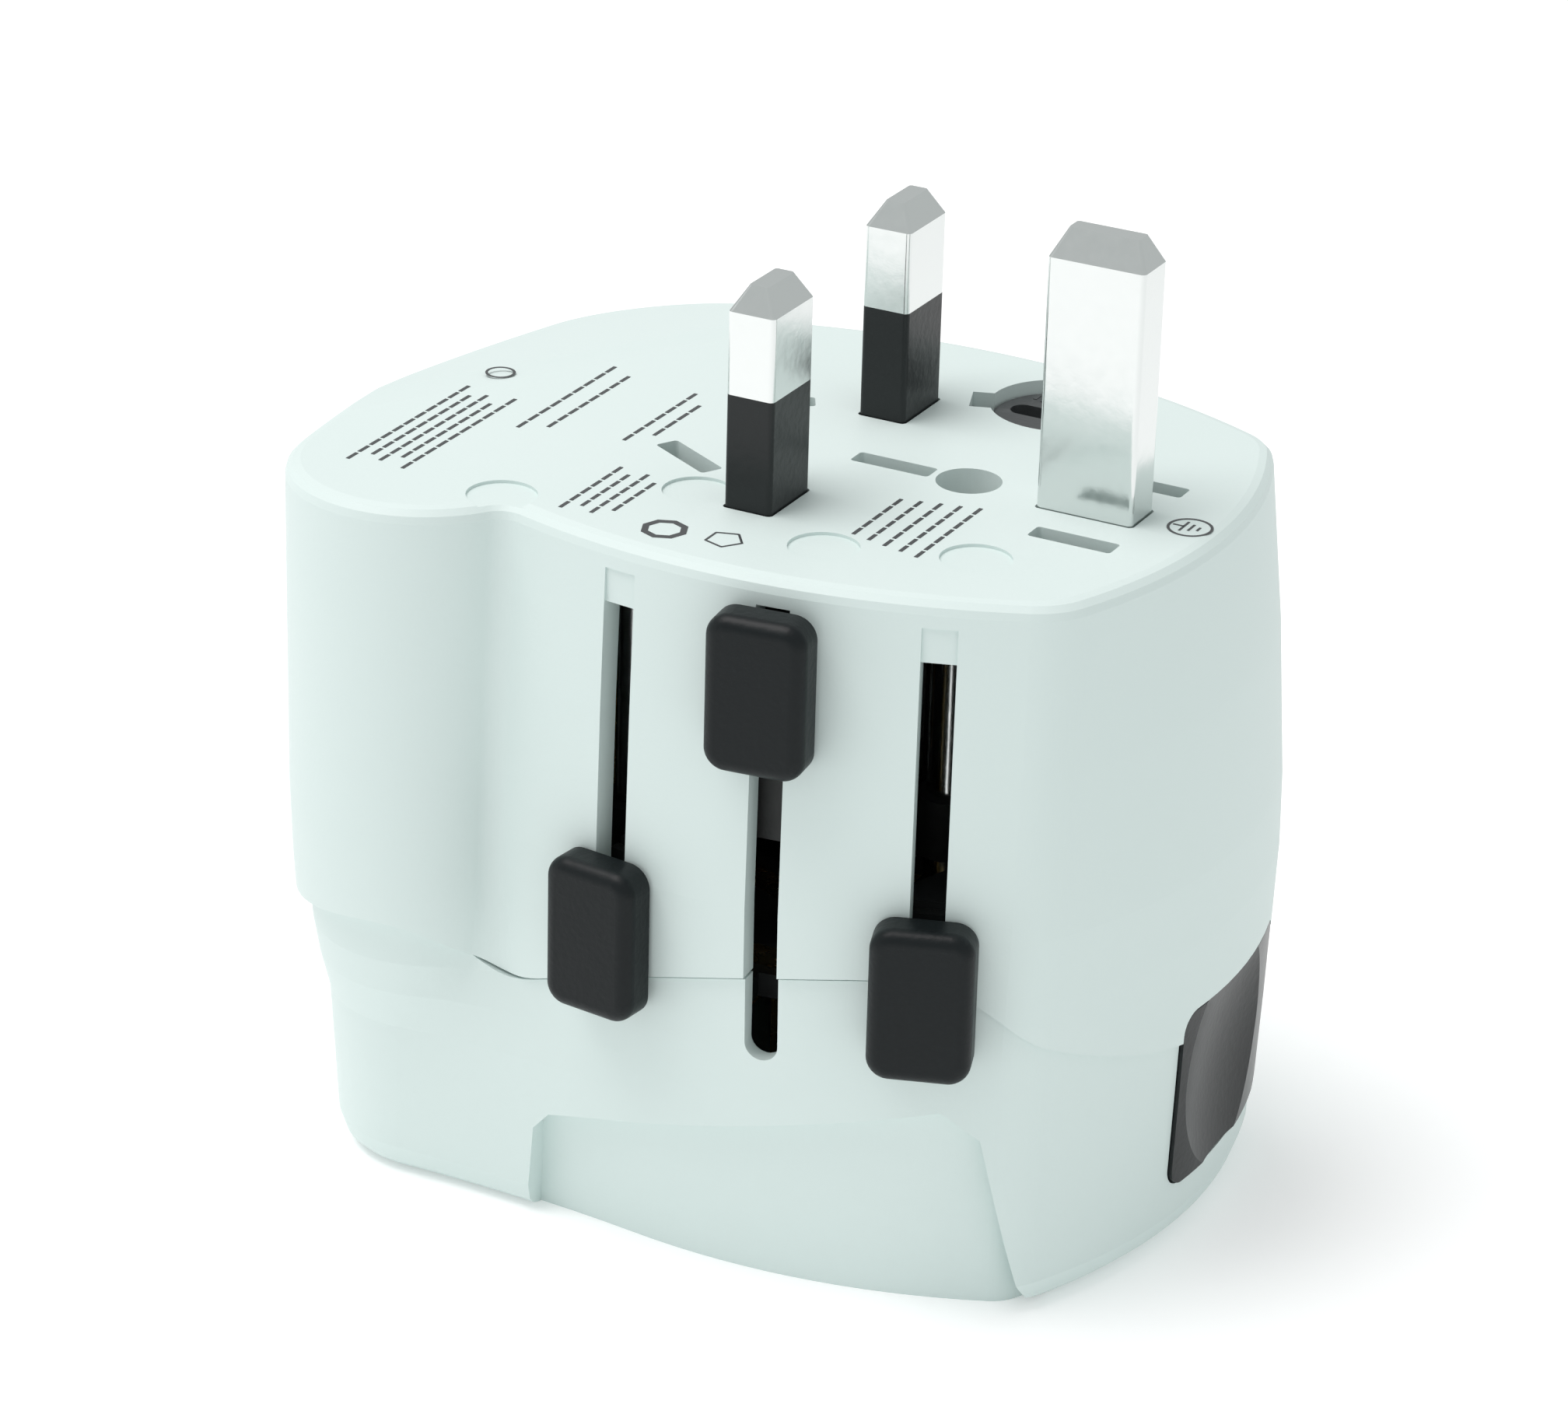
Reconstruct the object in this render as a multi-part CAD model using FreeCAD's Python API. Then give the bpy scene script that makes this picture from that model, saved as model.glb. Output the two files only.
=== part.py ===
import FreeCAD, Part
import math
import os

from FreeCAD import Vector

# Universal travel adapter, millimetres, +Z up, plug face on top, sliders to the front (-Y).
# The origin lies on the base, under the middle of the body.

# ---- overall body
BODY_HALF_WIDTH = 35.9
BODY_HALF_DEPTH = 26.85
LOBE_HALF_DEPTH = 29.3
BODY_HEIGHT = 60.0

# ---- curves of the outline
FRONT_RADIUS = 58.0
FRONT_CENTRE_X = 3.8
RIGHT_RADIUS = 45.0
FLARE_X = 0.9
FLARE_Y = 3.0
CORNER_RADIUS = 6.0
VALLEY_RADIUS = 2.0
VALLEY_FILL = 200.0
LOBE_RADIUS = 10.8
LOBE_CENTRE_X = -24.0
LOBE_BASE_SHIFT_X = 0.4
LOBE_BASE_SHIFT_Y = 3.1
LOBE_BASE_LESS = 2.0
LEFT_BASE_LESS = 2.9

# ---- walls
WALL = 2.0
LOWER_WALL = 3.0
TOP_WALL = 2.2
BASE_WALL = 2.4
RIM_ROUND = 1.2
LIP_HEIGHT = 2.0
LIP_GAP = 0.1
LIP_LOW = 9.0
SEAM_GAP = 0.25
SEAM_STEP = 0.2
SEAM_HEIGHT = 24.0

# ---- carriages and their travel
CARRIAGE_HEIGHT = 5.0
CARRIAGE_GAP = 0.4
YOKE_HEIGHT = 2.6
YOKE_GAP = 0.2
BODY_GAP = 0.4

# ---- plug face layout, measured from the middle between the line and neutral pins
FACE_X = 2.3
FACE_Y = -0.95
UK_PITCH_Y = 11.11
UK_EARTH_X = 22.23
AU_PITCH_Y = 6.86
AU_X = -9.05
AU_EARTH_X = 5.2
AU_TURN = 29.0
US_PITCH_Y = 6.35
US_X = 23.5
US_EARTH_X = 11.64

# ---- pins and blades
PIN_THICK = 4.0
PIN_WIDE = 6.35
EARTH_LONG = 8.0
PIN_OUT = 17.7
SLEEVE_OUT = 9.1
SLEEVE_SKIN = 0.6
TIP_LONG = 2.0
PIN_EDGE = 0.4
EARTH_LESS = 1.1
AU_THICK = 1.63
AU_OUT = 17.1
AU_EARTH_OUT = 20.0
US_THICK = 1.5
US_OUT = 17.0
US_EARTH_R = 2.38
US_EARTH_OUT = 21.0
TAIL = 2.5
PIN_CLEAR = 0.12

# ---- sliders
SLIDER_X = (-2.8, 10.3, 22.8)
SLOT_WIDE = 2.7
STEM_WIDE = 2.3
STEM_HEIGHT = 6.0
KNOB_WIDE = 8.0
KNOB_HEIGHT = 12.6
KNOB_PROUD = 2.9
KNOB_LIFT = 0.3
KNOB_CORNER = 1.8
KNOB_EDGE = 1.1
KNOB_BELOW_FACE = 8.2
SLOT_TOP_BELOW_FACE = 5.0
GROOVE_DEPTH = 1.0
STRIP_WIDE = 4.5
STRIP_THICK = 1.0
STRIP_GAP = 1.15
STRIP_SIDE = 0.3
STRIP_DOWN = 14.1
STRIP_UP = 5.0

# ---- guide rods
ROD_R = 1.2
ROD_FIT = 0.05
ROD_BOSS_R = 2.6

# ---- fuse
FUSE_X = 10.8
FUSE_Y = 18.0
FUSE_CAP_R = 5.4
FUSE_HOLE_R = 5.6
FUSE_EAR_R = 6.2
FUSE_NOTCH_R = 7.1
FUSE_NOTCH_TURN = 20.0
FUSE_SINK = 1.0
FUSE_R = 2.6
FUSE_LONG = 20.0
HOLDER_R = 5.2
HOLDER_BORE_R = 3.2

# ---- release button
BUTTON_Y0 = -4.0
BUTTON_Y1 = 16.0
BUTTON_Z0 = 5.3
BUTTON_Z1 = 21.0
BUTTON_TRAVEL = 1.8
BUTTON_PROUD = 0.2
BUTTON_GAP = 0.15
BUTTON_CORNER = 1.8
FLANGE_THICK = 1.2
DISH_R = 30.0
DISH_DEEP = 1.1

# ---- socket on the base
BASE_EDGE = 3.0
LEDGE = 1.0
PLATE_STEP = 1.6
PLATE_GAP = 0.1
CONTACT_THICK = 0.5
CONTACT_GAP = 0.55
EU_PITCH_Y = 9.5
EU_HOLE_R = 2.5
EARTH_BORE_X = 12.2
EARTH_BORE_R = 2.6

# ---- USB module
BOARD_X = -20.5
BOARD_THICK = 1.4
BOARD_HALF = 13.0
PORT_Y = 8.0
PORT_X = 5.7
PORT_WIDE = 13.1
PORT_LONG = 14.0
PORT_WALL = 0.35
PORT_SINK = 0.8

# ---- screws
SCREW_PLACES = ((-17.5, -16.5), (-17.5, 16.5), (22.4, 17.3), (16.1, -18.6))
SCREW_R = 1.2
SCREW_HEAD_R = 2.2
SCREW_POST_R = 2.9
SCREW_BOSS_R = 2.4
RIB_THICK = 1.2

# ---- heights that follow from the above
TRAVEL = (BODY_HEIGHT - TOP_WALL - CARRIAGE_GAP - CARRIAGE_HEIGHT
          - YOKE_GAP - YOKE_HEIGHT - BODY_GAP - BASE_WALL) / 2
UNDER_TOP = BODY_HEIGHT - TOP_WALL
CAR_TOP = UNDER_TOP - CARRIAGE_GAP
CAR_LOW = CAR_TOP - CARRIAGE_HEIGHT
YOKE_TOP = CAR_LOW - TRAVEL - YOKE_GAP
YOKE_LOW = YOKE_TOP - YOKE_HEIGHT
FLOOR_TOP = CAR_LOW - TRAVEL - TAIL - 2.0
FLOOR_THICK = 2.0
FLOOR_LOW = FLOOR_TOP - FLOOR_THICK
KNOB_Z = BODY_HEIGHT - KNOB_BELOW_FACE
LOW_KNOB_Z = KNOB_Z - TRAVEL
CONTACT_TOP = FLOOR_LOW - 1.5
CONTACT_LOW = 6.0
SHROUD_TOP = BUTTON_Z0 - 1.4
BUS_THICK = 0.8

# ---- body sections: (share of height, inset of the main walls, shrink of the lobe, flare share)
UPPER_SECTIONS = ((0.22, 0.6, 0.25, 1.0), (0.45, 0.1, 0.05, 0.95), (0.55, 0.0, 0.0, 0.8),
                  (0.77, 0.35, 0.0, 0.45))
UPPER_RIM_INSET = 0.85
LOWER_SECTIONS = ((2.6, 1.0, 0.86, 0.9), (14.0, 0.7, 0.70, 1.0), (17.5, 0.6, 0.50, 1.0),
                  (20.5, 0.5, 0.38, 1.0), (33.0, 0.1, 0.10, 0.8))
BASE_ROUND = ((0.0, 2.2), (0.35, 1.3), (1.1, 0.5))
SEAM_WAVE = ((-42.0, 0.0), (-27.0, 0.4), (-19.0, 0.0), (-13.4, -3.2), (-8.5, -2.0), (3.0, 1.8),
             (16.0, 4.5), (25.0, 4.3), (30.0, 0.5), (34.0, -3.5), (38.0, -7.5), (42.0, -10.0))


def box(x0, x1, y0, y1, z0, z1):
    return Part.makeBox(x1 - x0, y1 - y0, z1 - z0, Vector(x0, y0, z0))


def rod(r, x, y, z0, z1):
    return Part.makeCylinder(r, z1 - z0, Vector(x, y, z0))


def face_box(x0, x1, y0, y1, z0, z1):
    """A block placed in the layout of the plug face."""
    return box(FACE_X + x0, FACE_X + x1, FACE_Y + y0, FACE_Y + y1, z0, z1)


def face_rod(r, x, y, z0, z1):
    """A round bar placed in the layout of the plug face."""
    return rod(r, FACE_X + x, FACE_Y + y, z0, z1)


def join(shapes):
    whole = shapes[0]
    if len(shapes) > 1:
        whole = whole.fuse(list(shapes[1:]))
    return whole.removeSplitter()


def cut(shape, tools):
    return shape.cut(list(tools))


def bar(p, q, wide, z0, z1):
    """A straight bar with round ends between two plan points of the plug face layout."""
    ax = FACE_X + p[0]
    ay = FACE_Y + p[1]
    bx = FACE_X + q[0]
    by = FACE_Y + q[1]
    long = math.hypot(bx - ax, by - ay)
    body = Part.makeBox(long, wide, z1 - z0, Vector(0, -wide / 2, 0))
    body.rotate(Vector(0, 0, 0), Vector(0, 0, 1), math.degrees(math.atan2(by - ay, bx - ax)))
    body.translate(Vector(ax, ay, z0))
    return join([body, rod(wide / 2, ax, ay, z0, z1), rod(wide / 2, bx, by, z0, z1)])


def track(points, wide, z0, z1):
    """A bent strip through several plan points of the plug face layout."""
    return join([bar(p, q, wide, z0, z1) for p, q in zip(points, points[1:])])


def rounded_wire(long_x, long_y, r, z):
    """A rectangle with rounded corners, centred on the Z axis."""
    hx = long_x / 2
    hy = long_y / 2
    k = r * (1 - math.sqrt(0.5))
    corners = ((hx, hy, 1, 1), (-hx, hy, -1, 1), (-hx, -hy, -1, -1), (hx, -hy, 1, -1))
    edges = []
    last = None
    first = None
    for x, y, sx, sy in corners:
        on_y = Vector(x, y - sy * r, z)
        on_x = Vector(x - sx * r, y, z)
        a, b = (on_y, on_x) if sx * sy > 0 else (on_x, on_y)
        if last is None:
            first = a
        else:
            edges.append(Part.makeLine(last, a))
        edges.append(Part.Arc(a, Vector(x - sx * k, y - sy * k, z), b).toShape())
        last = b
    edges.append(Part.makeLine(last, first))
    return Part.Wire(edges)


def rounded_block(long_x, long_y, r, z0, z1):
    return Part.Face(rounded_wire(long_x, long_y, r, z0)).extrude(Vector(0, 0, z1 - z0))


def tipped(long_x, long_y, r, z0, z1, tip_x, tip_y, tip_long):
    """A rounded bar whose end narrows by tip_x and tip_y on each side over tip_long."""
    wires = [rounded_wire(long_x, long_y, r, z0), rounded_wire(long_x, long_y, r, z1 - tip_long),
             rounded_wire(long_x - 2 * tip_x, long_y - 2 * tip_y, r * 0.6, z1)]
    return Part.makeLoft(wires, True, True)


def put(shape, x, y, turn=0.0):
    """Turn a shape about Z and set it at a plan point of the plug face layout."""
    placed = shape.copy()
    placed.rotate(Vector(0, 0, 0), Vector(0, 0, 1), turn)
    placed.translate(Vector(FACE_X + x, FACE_Y + y, 0))
    return placed


def meet(c1, r1, c2, r2, hint):
    """The point at distance r1 from c1 and r2 from c2 that lies nearer the hint."""
    gap = c2.sub(c1)
    d = gap.Length
    along = (r1 * r1 - r2 * r2 + d * d) / (2 * d)
    across = math.sqrt(max(r1 * r1 - along * along, 0.0))
    ex = Vector(gap).normalize()
    ey = Vector(-ex.y, ex.x, 0)
    a = c1.add(Vector(ex).multiply(along)).add(Vector(ey).multiply(across))
    b = c1.add(Vector(ex).multiply(along)).sub(Vector(ey).multiply(across))
    return a if a.sub(hint).Length < b.sub(hint).Length else b


def outline(z, main, shrink, off, flare=0.0):
    """The body outline at height z: main walls inset, lobe shrunk, right wall flared, all offset."""
    front_r = FRONT_RADIUS - main
    front_c = Vector(FRONT_CENTRE_X, FRONT_RADIUS - BODY_HALF_DEPTH, 0)
    right_r = RIGHT_RADIUS - main
    right_c = Vector(BODY_HALF_WIDTH - RIGHT_RADIUS + FLARE_X * flare, FLARE_Y * flare, 0)
    lobe_r = LOBE_RADIUS - LOBE_BASE_LESS * shrink
    lobe_c = Vector(LOBE_CENTRE_X + LOBE_BASE_SHIFT_X * shrink,
                    -(LOBE_HALF_DEPTH - LOBE_RADIUS) + LOBE_BASE_SHIFT_Y * shrink, 0)
    left_x = -BODY_HALF_WIDTH + LEFT_BASE_LESS * shrink
    a = left_x - lobe_c.x
    left_r = (lobe_r ** 2 - a ** 2 - lobe_c.y ** 2) / (2 * (a + lobe_r))
    left_c = Vector(left_x + left_r, 0, 0)
    corner_c = meet(front_c, front_r - CORNER_RADIUS, right_c, right_r - CORNER_RADIUS,
                    Vector(BODY_HALF_WIDTH, -BODY_HALF_DEPTH, 0))
    valley_r = VALLEY_RADIUS + VALLEY_FILL * shrink ** 3
    valley_c = meet(front_c, front_r + valley_r, lobe_c, lobe_r + valley_r,
                    Vector(0, -2 * BODY_HALF_DEPTH, 0))
    front = [(valley_c, valley_r + off, False), (front_c, front_r - off, True),
             (corner_c, CORNER_RADIUS - off, True), (right_c, right_r - off, True)]
    back = [(Vector(c.x, -c.y, 0), r, convex) for c, r, convex in front[:2]]
    rear_c = meet(back[1][0], front_r - CORNER_RADIUS, right_c, right_r - CORNER_RADIUS,
                  Vector(BODY_HALF_WIDTH, BODY_HALF_DEPTH, 0))
    arcs = front + [(rear_c, CORNER_RADIUS - off, True), back[1], back[0], (Vector(lobe_c.x, -lobe_c.y, 0), lobe_r - off, True),
                    (left_c, left_r - off, True), (lobe_c, lobe_r - off, True)]
    return chain(arcs, z)


def touch(one, two):
    """Where two tangent arcs join."""
    if one[2] and two[2]:
        big, small = (one, two) if one[1] > two[1] else (two, one)
    else:
        big, small = (one, two) if one[2] else (two, one)
    way = small[0].sub(big[0]).normalize()
    return big[0].add(way.multiply(big[1]))


def chain(arcs, z):
    """A closed wire through tangent arcs at height z."""
    lift = Vector(0, 0, z)
    joints = [touch(arcs[i - 1], arcs[i]) for i in range(len(arcs))]
    edges = []
    for i, (centre, radius, convex) in enumerate(arcs):
        a = joints[i]
        b = joints[(i + 1) % len(arcs)]
        way = a.add(b).multiply(0.5).sub(centre).normalize()
        mid = centre.add(way.multiply(radius))
        edges.append(Part.Arc(a.add(lift), mid.add(lift), b.add(lift)).toShape())
    return Part.Wire(edges)


def loft(wires):
    return Part.makeLoft(wires, True, True)


def upper_solid(off, top, low=None):
    """The upper body as a solid, offset inwards; a plain top when off is not zero."""
    wires = [outline(BODY_HEIGHT * share, main, shrink, off, flare)
             for share, main, shrink, flare in UPPER_SECTIONS]
    if low is not None:
        main, shrink, flare = UPPER_SECTIONS[0][1:]
        wires.insert(0, outline(low, main, shrink, off, flare))
    if off > 0:
        wires.append(outline(top, UPPER_RIM_INSET, 0.0, off))
    else:
        wires.append(outline(top - RIM_ROUND, UPPER_RIM_INSET, 0.0, 0.0))
        for step in (30.0, 60.0, 90.0):
            turn = math.radians(step)
            wires.append(outline(top - RIM_ROUND * (1 - math.sin(turn)), UPPER_RIM_INSET, 0.0,
                                 RIM_ROUND * (1 - math.cos(turn))))
    return loft(wires)


def lower_solid(off, low, rounded, extra=0.0, extra_base=0.0):
    """The lower body as a solid, offset inwards; extra_base widens the offset towards the base."""
    reach = LOWER_SECTIONS[-1][0]
    wires = []
    if rounded:
        for z, more in BASE_ROUND:
            wires.append(base_outline(z, more + SEAM_STEP))
    if low < LOWER_SECTIONS[0][0]:
        share = 1 - low / reach
        if not rounded:
            wires.append(base_outline(low, off + SEAM_STEP + extra + extra_base * share))
    for z, main, shrink, flare in LOWER_SECTIONS:
        if z <= low:
            continue
        share = 1 - z / reach
        wires.append(outline(z, main, shrink, off + SEAM_STEP + extra + extra_base * share, flare))
    return loft(wires)


def base_outline(z, off):
    """The outline of the base section, drawn at height z."""
    main, shrink, flare = LOWER_SECTIONS[0][1:]
    return outline(z, main, shrink, off, flare)


def wave_points(lift):
    return [Vector(x, -60.0, SEAM_HEIGHT * BODY_HEIGHT / 60.0 + dz + lift) for x, dz in SEAM_WAVE]


def below_seam(lift):
    """Everything under the wavy seam, raised by lift."""
    points = wave_points(lift)
    curve = Part.BSplineCurve()
    curve.interpolate(points)
    a = points[0]
    b = points[-1]
    low_a = Vector(a.x, a.y, -20.0)
    low_b = Vector(b.x, b.y, -20.0)
    wire = Part.Wire([curve.toShape(), Part.makeLine(b, low_b), Part.makeLine(low_b, low_a),
                      Part.makeLine(low_a, a)])
    return Part.Face(wire).extrude(Vector(0, 120.0, 0))


def above_slope(drop):
    """The blocks taken off the top of the lobe, where it falls away to the back left."""
    blocks = []
    for start, along_x, along_y in ((5.4, 0.19, -0.115), (2.48, 0.095, -0.0575)):
        normal = Vector(-along_x, -along_y, 1.0).normalize()
        at = Vector(0, 0, BODY_HEIGHT + start - drop)
        half = 120.0
        slab = Part.makeBox(2 * half, 2 * half, half, Vector(-half, -half, 0))
        slab.Placement = FreeCAD.Placement(at, FreeCAD.Rotation(Vector(0, 0, 1), normal))
        blocks.append(slab)
    return blocks


def slider_frame(index):
    """Wall point and turn of slider 0 (AU), 1 (UK) or 2 (US); local -Y points out of the wall."""
    x = SLIDER_X[index]
    turn = math.asin((x - FRONT_CENTRE_X) / FRONT_RADIUS)
    y = FRONT_RADIUS - BODY_HALF_DEPTH - FRONT_RADIUS * math.cos(turn)
    return Vector(x, y, 0), math.degrees(turn)


def at_slider(shape, index):
    point, turn = slider_frame(index)
    placed = shape.copy()
    placed.rotate(Vector(0, 0, 0), Vector(0, 0, 1), turn)
    placed.translate(point)
    return placed


def slider_plan(index, inward):
    """Plug face coordinates of the point at a depth behind the wall of a slider."""
    point, turn = slider_frame(index)
    t = math.radians(turn)
    return (point.x - math.sin(t) * inward - FACE_X, point.y + math.cos(t) * inward - FACE_Y)


def slot_cutter(index):
    """The long slot a stem runs in, with its round foot and the shallow groove above it."""
    top = UNDER_TOP if index == 1 else BODY_HEIGHT - SLOT_TOP_BELOW_FACE
    low = LOW_KNOB_Z - (8.2 if index == 1 else 6.0) + SLOT_WIDE / 2
    half = SLOT_WIDE / 2
    deep = LOWER_WALL + 2.0
    main = box(-half, half, -2.0, deep, low, top)
    foot = Part.makeCylinder(half, deep + 2.0, Vector(0, -2.0, low), Vector(0, 1, 0))
    groove = box(-half, half, -2.0, GROOVE_DEPTH, top - 0.5, UNDER_TOP)
    return at_slider(join([main, foot, groove]), index)


def strip_pocket(index):
    """Room behind the wall of the lower housing for the strip that closes the slot."""
    half = STRIP_WIDE / 2 + STRIP_SIDE
    low = LOW_KNOB_Z - STRIP_DOWN - STRIP_SIDE
    return at_slider(box(-half, half, WALL + LIP_GAP, LOWER_WALL + 3.4, low, SEAM_HEIGHT + 14.0), index)


def knob(index):
    """Black finger block on the front with its stem through the slot."""
    block = Part.makeBox(KNOB_WIDE, KNOB_PROUD, KNOB_HEIGHT,
                         Vector(-KNOB_WIDE / 2, -KNOB_LIFT - KNOB_PROUD, -KNOB_HEIGHT / 2))
    corners = [e for e in block.Edges if abs(e.BoundBox.YLength - KNOB_PROUD) < 0.01]
    block = block.makeFillet(KNOB_CORNER, corners)
    front = [e for e in block.Edges if e.BoundBox.YMax < -KNOB_LIFT - KNOB_PROUD + 0.01]
    block = block.makeFillet(KNOB_EDGE, front)
    stem = box(-STEM_WIDE / 2, STEM_WIDE / 2, -KNOB_LIFT - 0.5, WALL + STRIP_GAP + STRIP_THICK,
               -STEM_HEIGHT / 2, STEM_HEIGHT / 2)
    whole = join([block, stem])
    whole.translate(Vector(0, 0, slider_rest(index)))
    return at_slider(whole, index)


def slider_rest(index):
    """Height of a slider at rest: the UK set stands out, the others are drawn in."""
    return KNOB_Z if index == 1 else LOW_KNOB_Z


def strip(index):
    """Thin strip that rides behind the wall and keeps the slot closed."""
    near = WALL + STRIP_GAP
    plate = box(-STRIP_WIDE / 2, STRIP_WIDE / 2, near, near + STRIP_THICK, -STRIP_DOWN, STRIP_UP)
    hole = box(-STEM_WIDE / 2, STEM_WIDE / 2, near - 1.0, near + STRIP_THICK + 1.0,
               -STEM_HEIGHT / 2, STEM_HEIGHT / 2)
    plate = plate.cut(hole)
    plate.translate(Vector(0, 0, slider_rest(index)))
    return at_slider(plate, index)


def bar_foot(index, wide, z0, z1):
    """Square end of a carriage bar, flat against the strip and the stem."""
    near = WALL + STRIP_GAP + STRIP_THICK
    return at_slider(box(-wide / 2, wide / 2, near, near + wide / 2, z0, z1), index)


def bar_reach(index, wide):
    return slider_plan(index, WALL + STRIP_GAP + STRIP_THICK + wide / 2)


def rod_places():
    return {"uk": (7.0, -15.0), "au": (-9.5, -14.5), "us": (24.4, -12.9)}


# ---- pins and blades: each is returned at its own rest height

def uk_pin(side):
    """Line or neutral pin with a slimmer core where the sleeve sits."""
    top = BODY_HEIGHT + PIN_OUT
    sleeve_top = BODY_HEIGHT + SLEEVE_OUT
    tip = tipped(PIN_THICK, PIN_WIDE, PIN_EDGE, sleeve_top, top, 1.2, 1.07, TIP_LONG)
    core = rounded_block(PIN_THICK - 2 * SLEEVE_SKIN, PIN_WIDE - 2 * SLEEVE_SKIN, PIN_EDGE,
                         CAR_TOP - 0.5, sleeve_top + 0.5)
    root = rounded_block(PIN_THICK, PIN_WIDE, PIN_EDGE, CAR_LOW - TAIL, CAR_TOP)
    return put(join([tip, core, root]), 0.0, side * UK_PITCH_Y)


def uk_sleeve(side):
    """Black insulating sleeve, flush with the faces of the pin."""
    outer = rounded_block(PIN_THICK, PIN_WIDE, PIN_EDGE, CAR_TOP, BODY_HEIGHT + SLEEVE_OUT)
    inner = rounded_block(PIN_THICK - 2 * SLEEVE_SKIN, PIN_WIDE - 2 * SLEEVE_SKIN, PIN_EDGE,
                          CAR_TOP - 1.0, BODY_HEIGHT + SLEEVE_OUT + 1.0)
    return put(outer.cut(inner), 0.0, side * UK_PITCH_Y)


def uk_earth():
    top = BODY_HEIGHT + TRAVEL - EARTH_LESS
    pin = tipped(EARTH_LONG, PIN_THICK, PIN_EDGE, CAR_LOW - TAIL, top, 1.1, 1.2, TIP_LONG + 0.2)
    return put(pin, UK_EARTH_X, 0.0)


def au_blade(side):
    low = CAR_LOW - TRAVEL
    blade = tipped(PIN_WIDE, AU_THICK, 0.25, low - TAIL + 0.5, BODY_HEIGHT + AU_OUT - TRAVEL,
                   0.5, 0.3, 0.9)
    return put(blade, AU_X, side * AU_PITCH_Y, side * AU_TURN)


def au_earth():
    """Earth blade with a narrower tail held in the arm of the carriage."""
    top = CAR_TOP - TRAVEL
    blade = tipped(PIN_WIDE, AU_THICK, 0.25, top, BODY_HEIGHT + AU_EARTH_OUT - TRAVEL, 0.5, 0.3, 0.9)
    tail = rounded_block(PIN_WIDE - 1.2, AU_THICK, 0.25, CAR_LOW - TRAVEL + 0.3, top + 0.3)
    return put(join([blade, tail]), AU_EARTH_X, 0.0)


def us_blade(side):
    low = CAR_LOW - TRAVEL
    blade = tipped(PIN_WIDE, US_THICK, 0.25, low - TAIL + 0.5, BODY_HEIGHT + US_OUT - TRAVEL,
                   0.6, 0.3, 1.0)
    return put(blade, US_X, side * US_PITCH_Y)


def us_earth():
    top = BODY_HEIGHT + US_EARTH_OUT - TRAVEL
    low = CAR_LOW - TRAVEL - TAIL + 0.5
    pin = rod(US_EARTH_R, 0.0, 0.0, low, top)
    end = [e for e in pin.Edges if e.BoundBox.ZMin > top - 0.01]
    return put(pin.makeFillet(1.5, end), US_EARTH_X, 0.0)


# ---- carriages

def uk_carriage():
    z0 = CAR_LOW
    z1 = CAR_TOP
    pads = [face_box(-3.2, 3.2, UK_PITCH_Y - 4.3, UK_PITCH_Y + 4.1, z0, z1),
            face_box(-3.2, 3.2, -UK_PITCH_Y - 4.1, -UK_PITCH_Y + 4.3, z0, z1),
            face_box(UK_EARTH_X - 5.0, UK_EARTH_X + 4.9, -3.4, 3.4, z0, z1)]
    arms = [face_box(2.8, 16.4, -6.4, -3.8, z0, z1), face_box(-1.0, 3.2, -7.5, -5.2, z0, z1),
            face_box(16.0, 18.2, -6.4, -2.4, z0, z1), face_box(1.5, 7.6, 4.0, 8.5, z0, z1)]
    yoke = [face_box(3.6, 7.6, -5.2, -2.6, YOKE_LOW, z1), face_box(3.6, 7.6, 2.6, 5.2, YOKE_LOW, z1),
            face_box(3.6, 7.6, -5.2, 5.2, YOKE_LOW, YOKE_TOP)]
    lever = [bar((2.0, -12.6), bar_reach(1, 5.0), 5.0, z0, z1), bar_foot(1, 5.0, z0, z1)]
    place = rod_places()["uk"]
    boss = face_rod(ROD_BOSS_R, place[0], place[1], z0, z1)
    whole = join(pads + arms + yoke + lever + [boss])
    return cut(whole, [uk_pin(1), uk_pin(-1), uk_earth(),
                       face_rod(ROD_R + ROD_FIT, place[0], place[1], z0 - 1, z1 + 1)])


def au_carriage():
    z0 = CAR_LOW - TRAVEL
    z1 = CAR_TOP - TRAVEL
    pads = [face_rod(4.4, AU_X, AU_PITCH_Y, z0, z1), face_rod(4.4, AU_X, -AU_PITCH_Y, z0, z1),
            face_box(AU_X - 2.95, AU_X + 2.55, -AU_PITCH_Y, AU_PITCH_Y, z0, z1),
            face_box(AU_X + 2.0, AU_EARTH_X + 3.3, -2.2, 2.2, z0, z1)]
    lever = [bar((AU_X, -AU_PITCH_Y - 1.8), bar_reach(0, 4.0), 4.0, z0, z1), bar_foot(0, 4.0, z0, z1)]
    place = rod_places()["au"]
    boss = face_rod(ROD_BOSS_R, place[0], place[1], z0, z1)
    groove = face_box(AU_X - 6.0, AU_EARTH_X - PIN_WIDE / 2, -1.0, 1.0, z1 - 0.6, z1 + 1.0)
    whole = join(pads + lever + [boss])
    return cut(whole, [au_blade(1), au_blade(-1), au_earth(), groove,
                       face_rod(ROD_R + ROD_FIT, place[0], place[1], z0 - 1, z1 + 1)])


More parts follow.
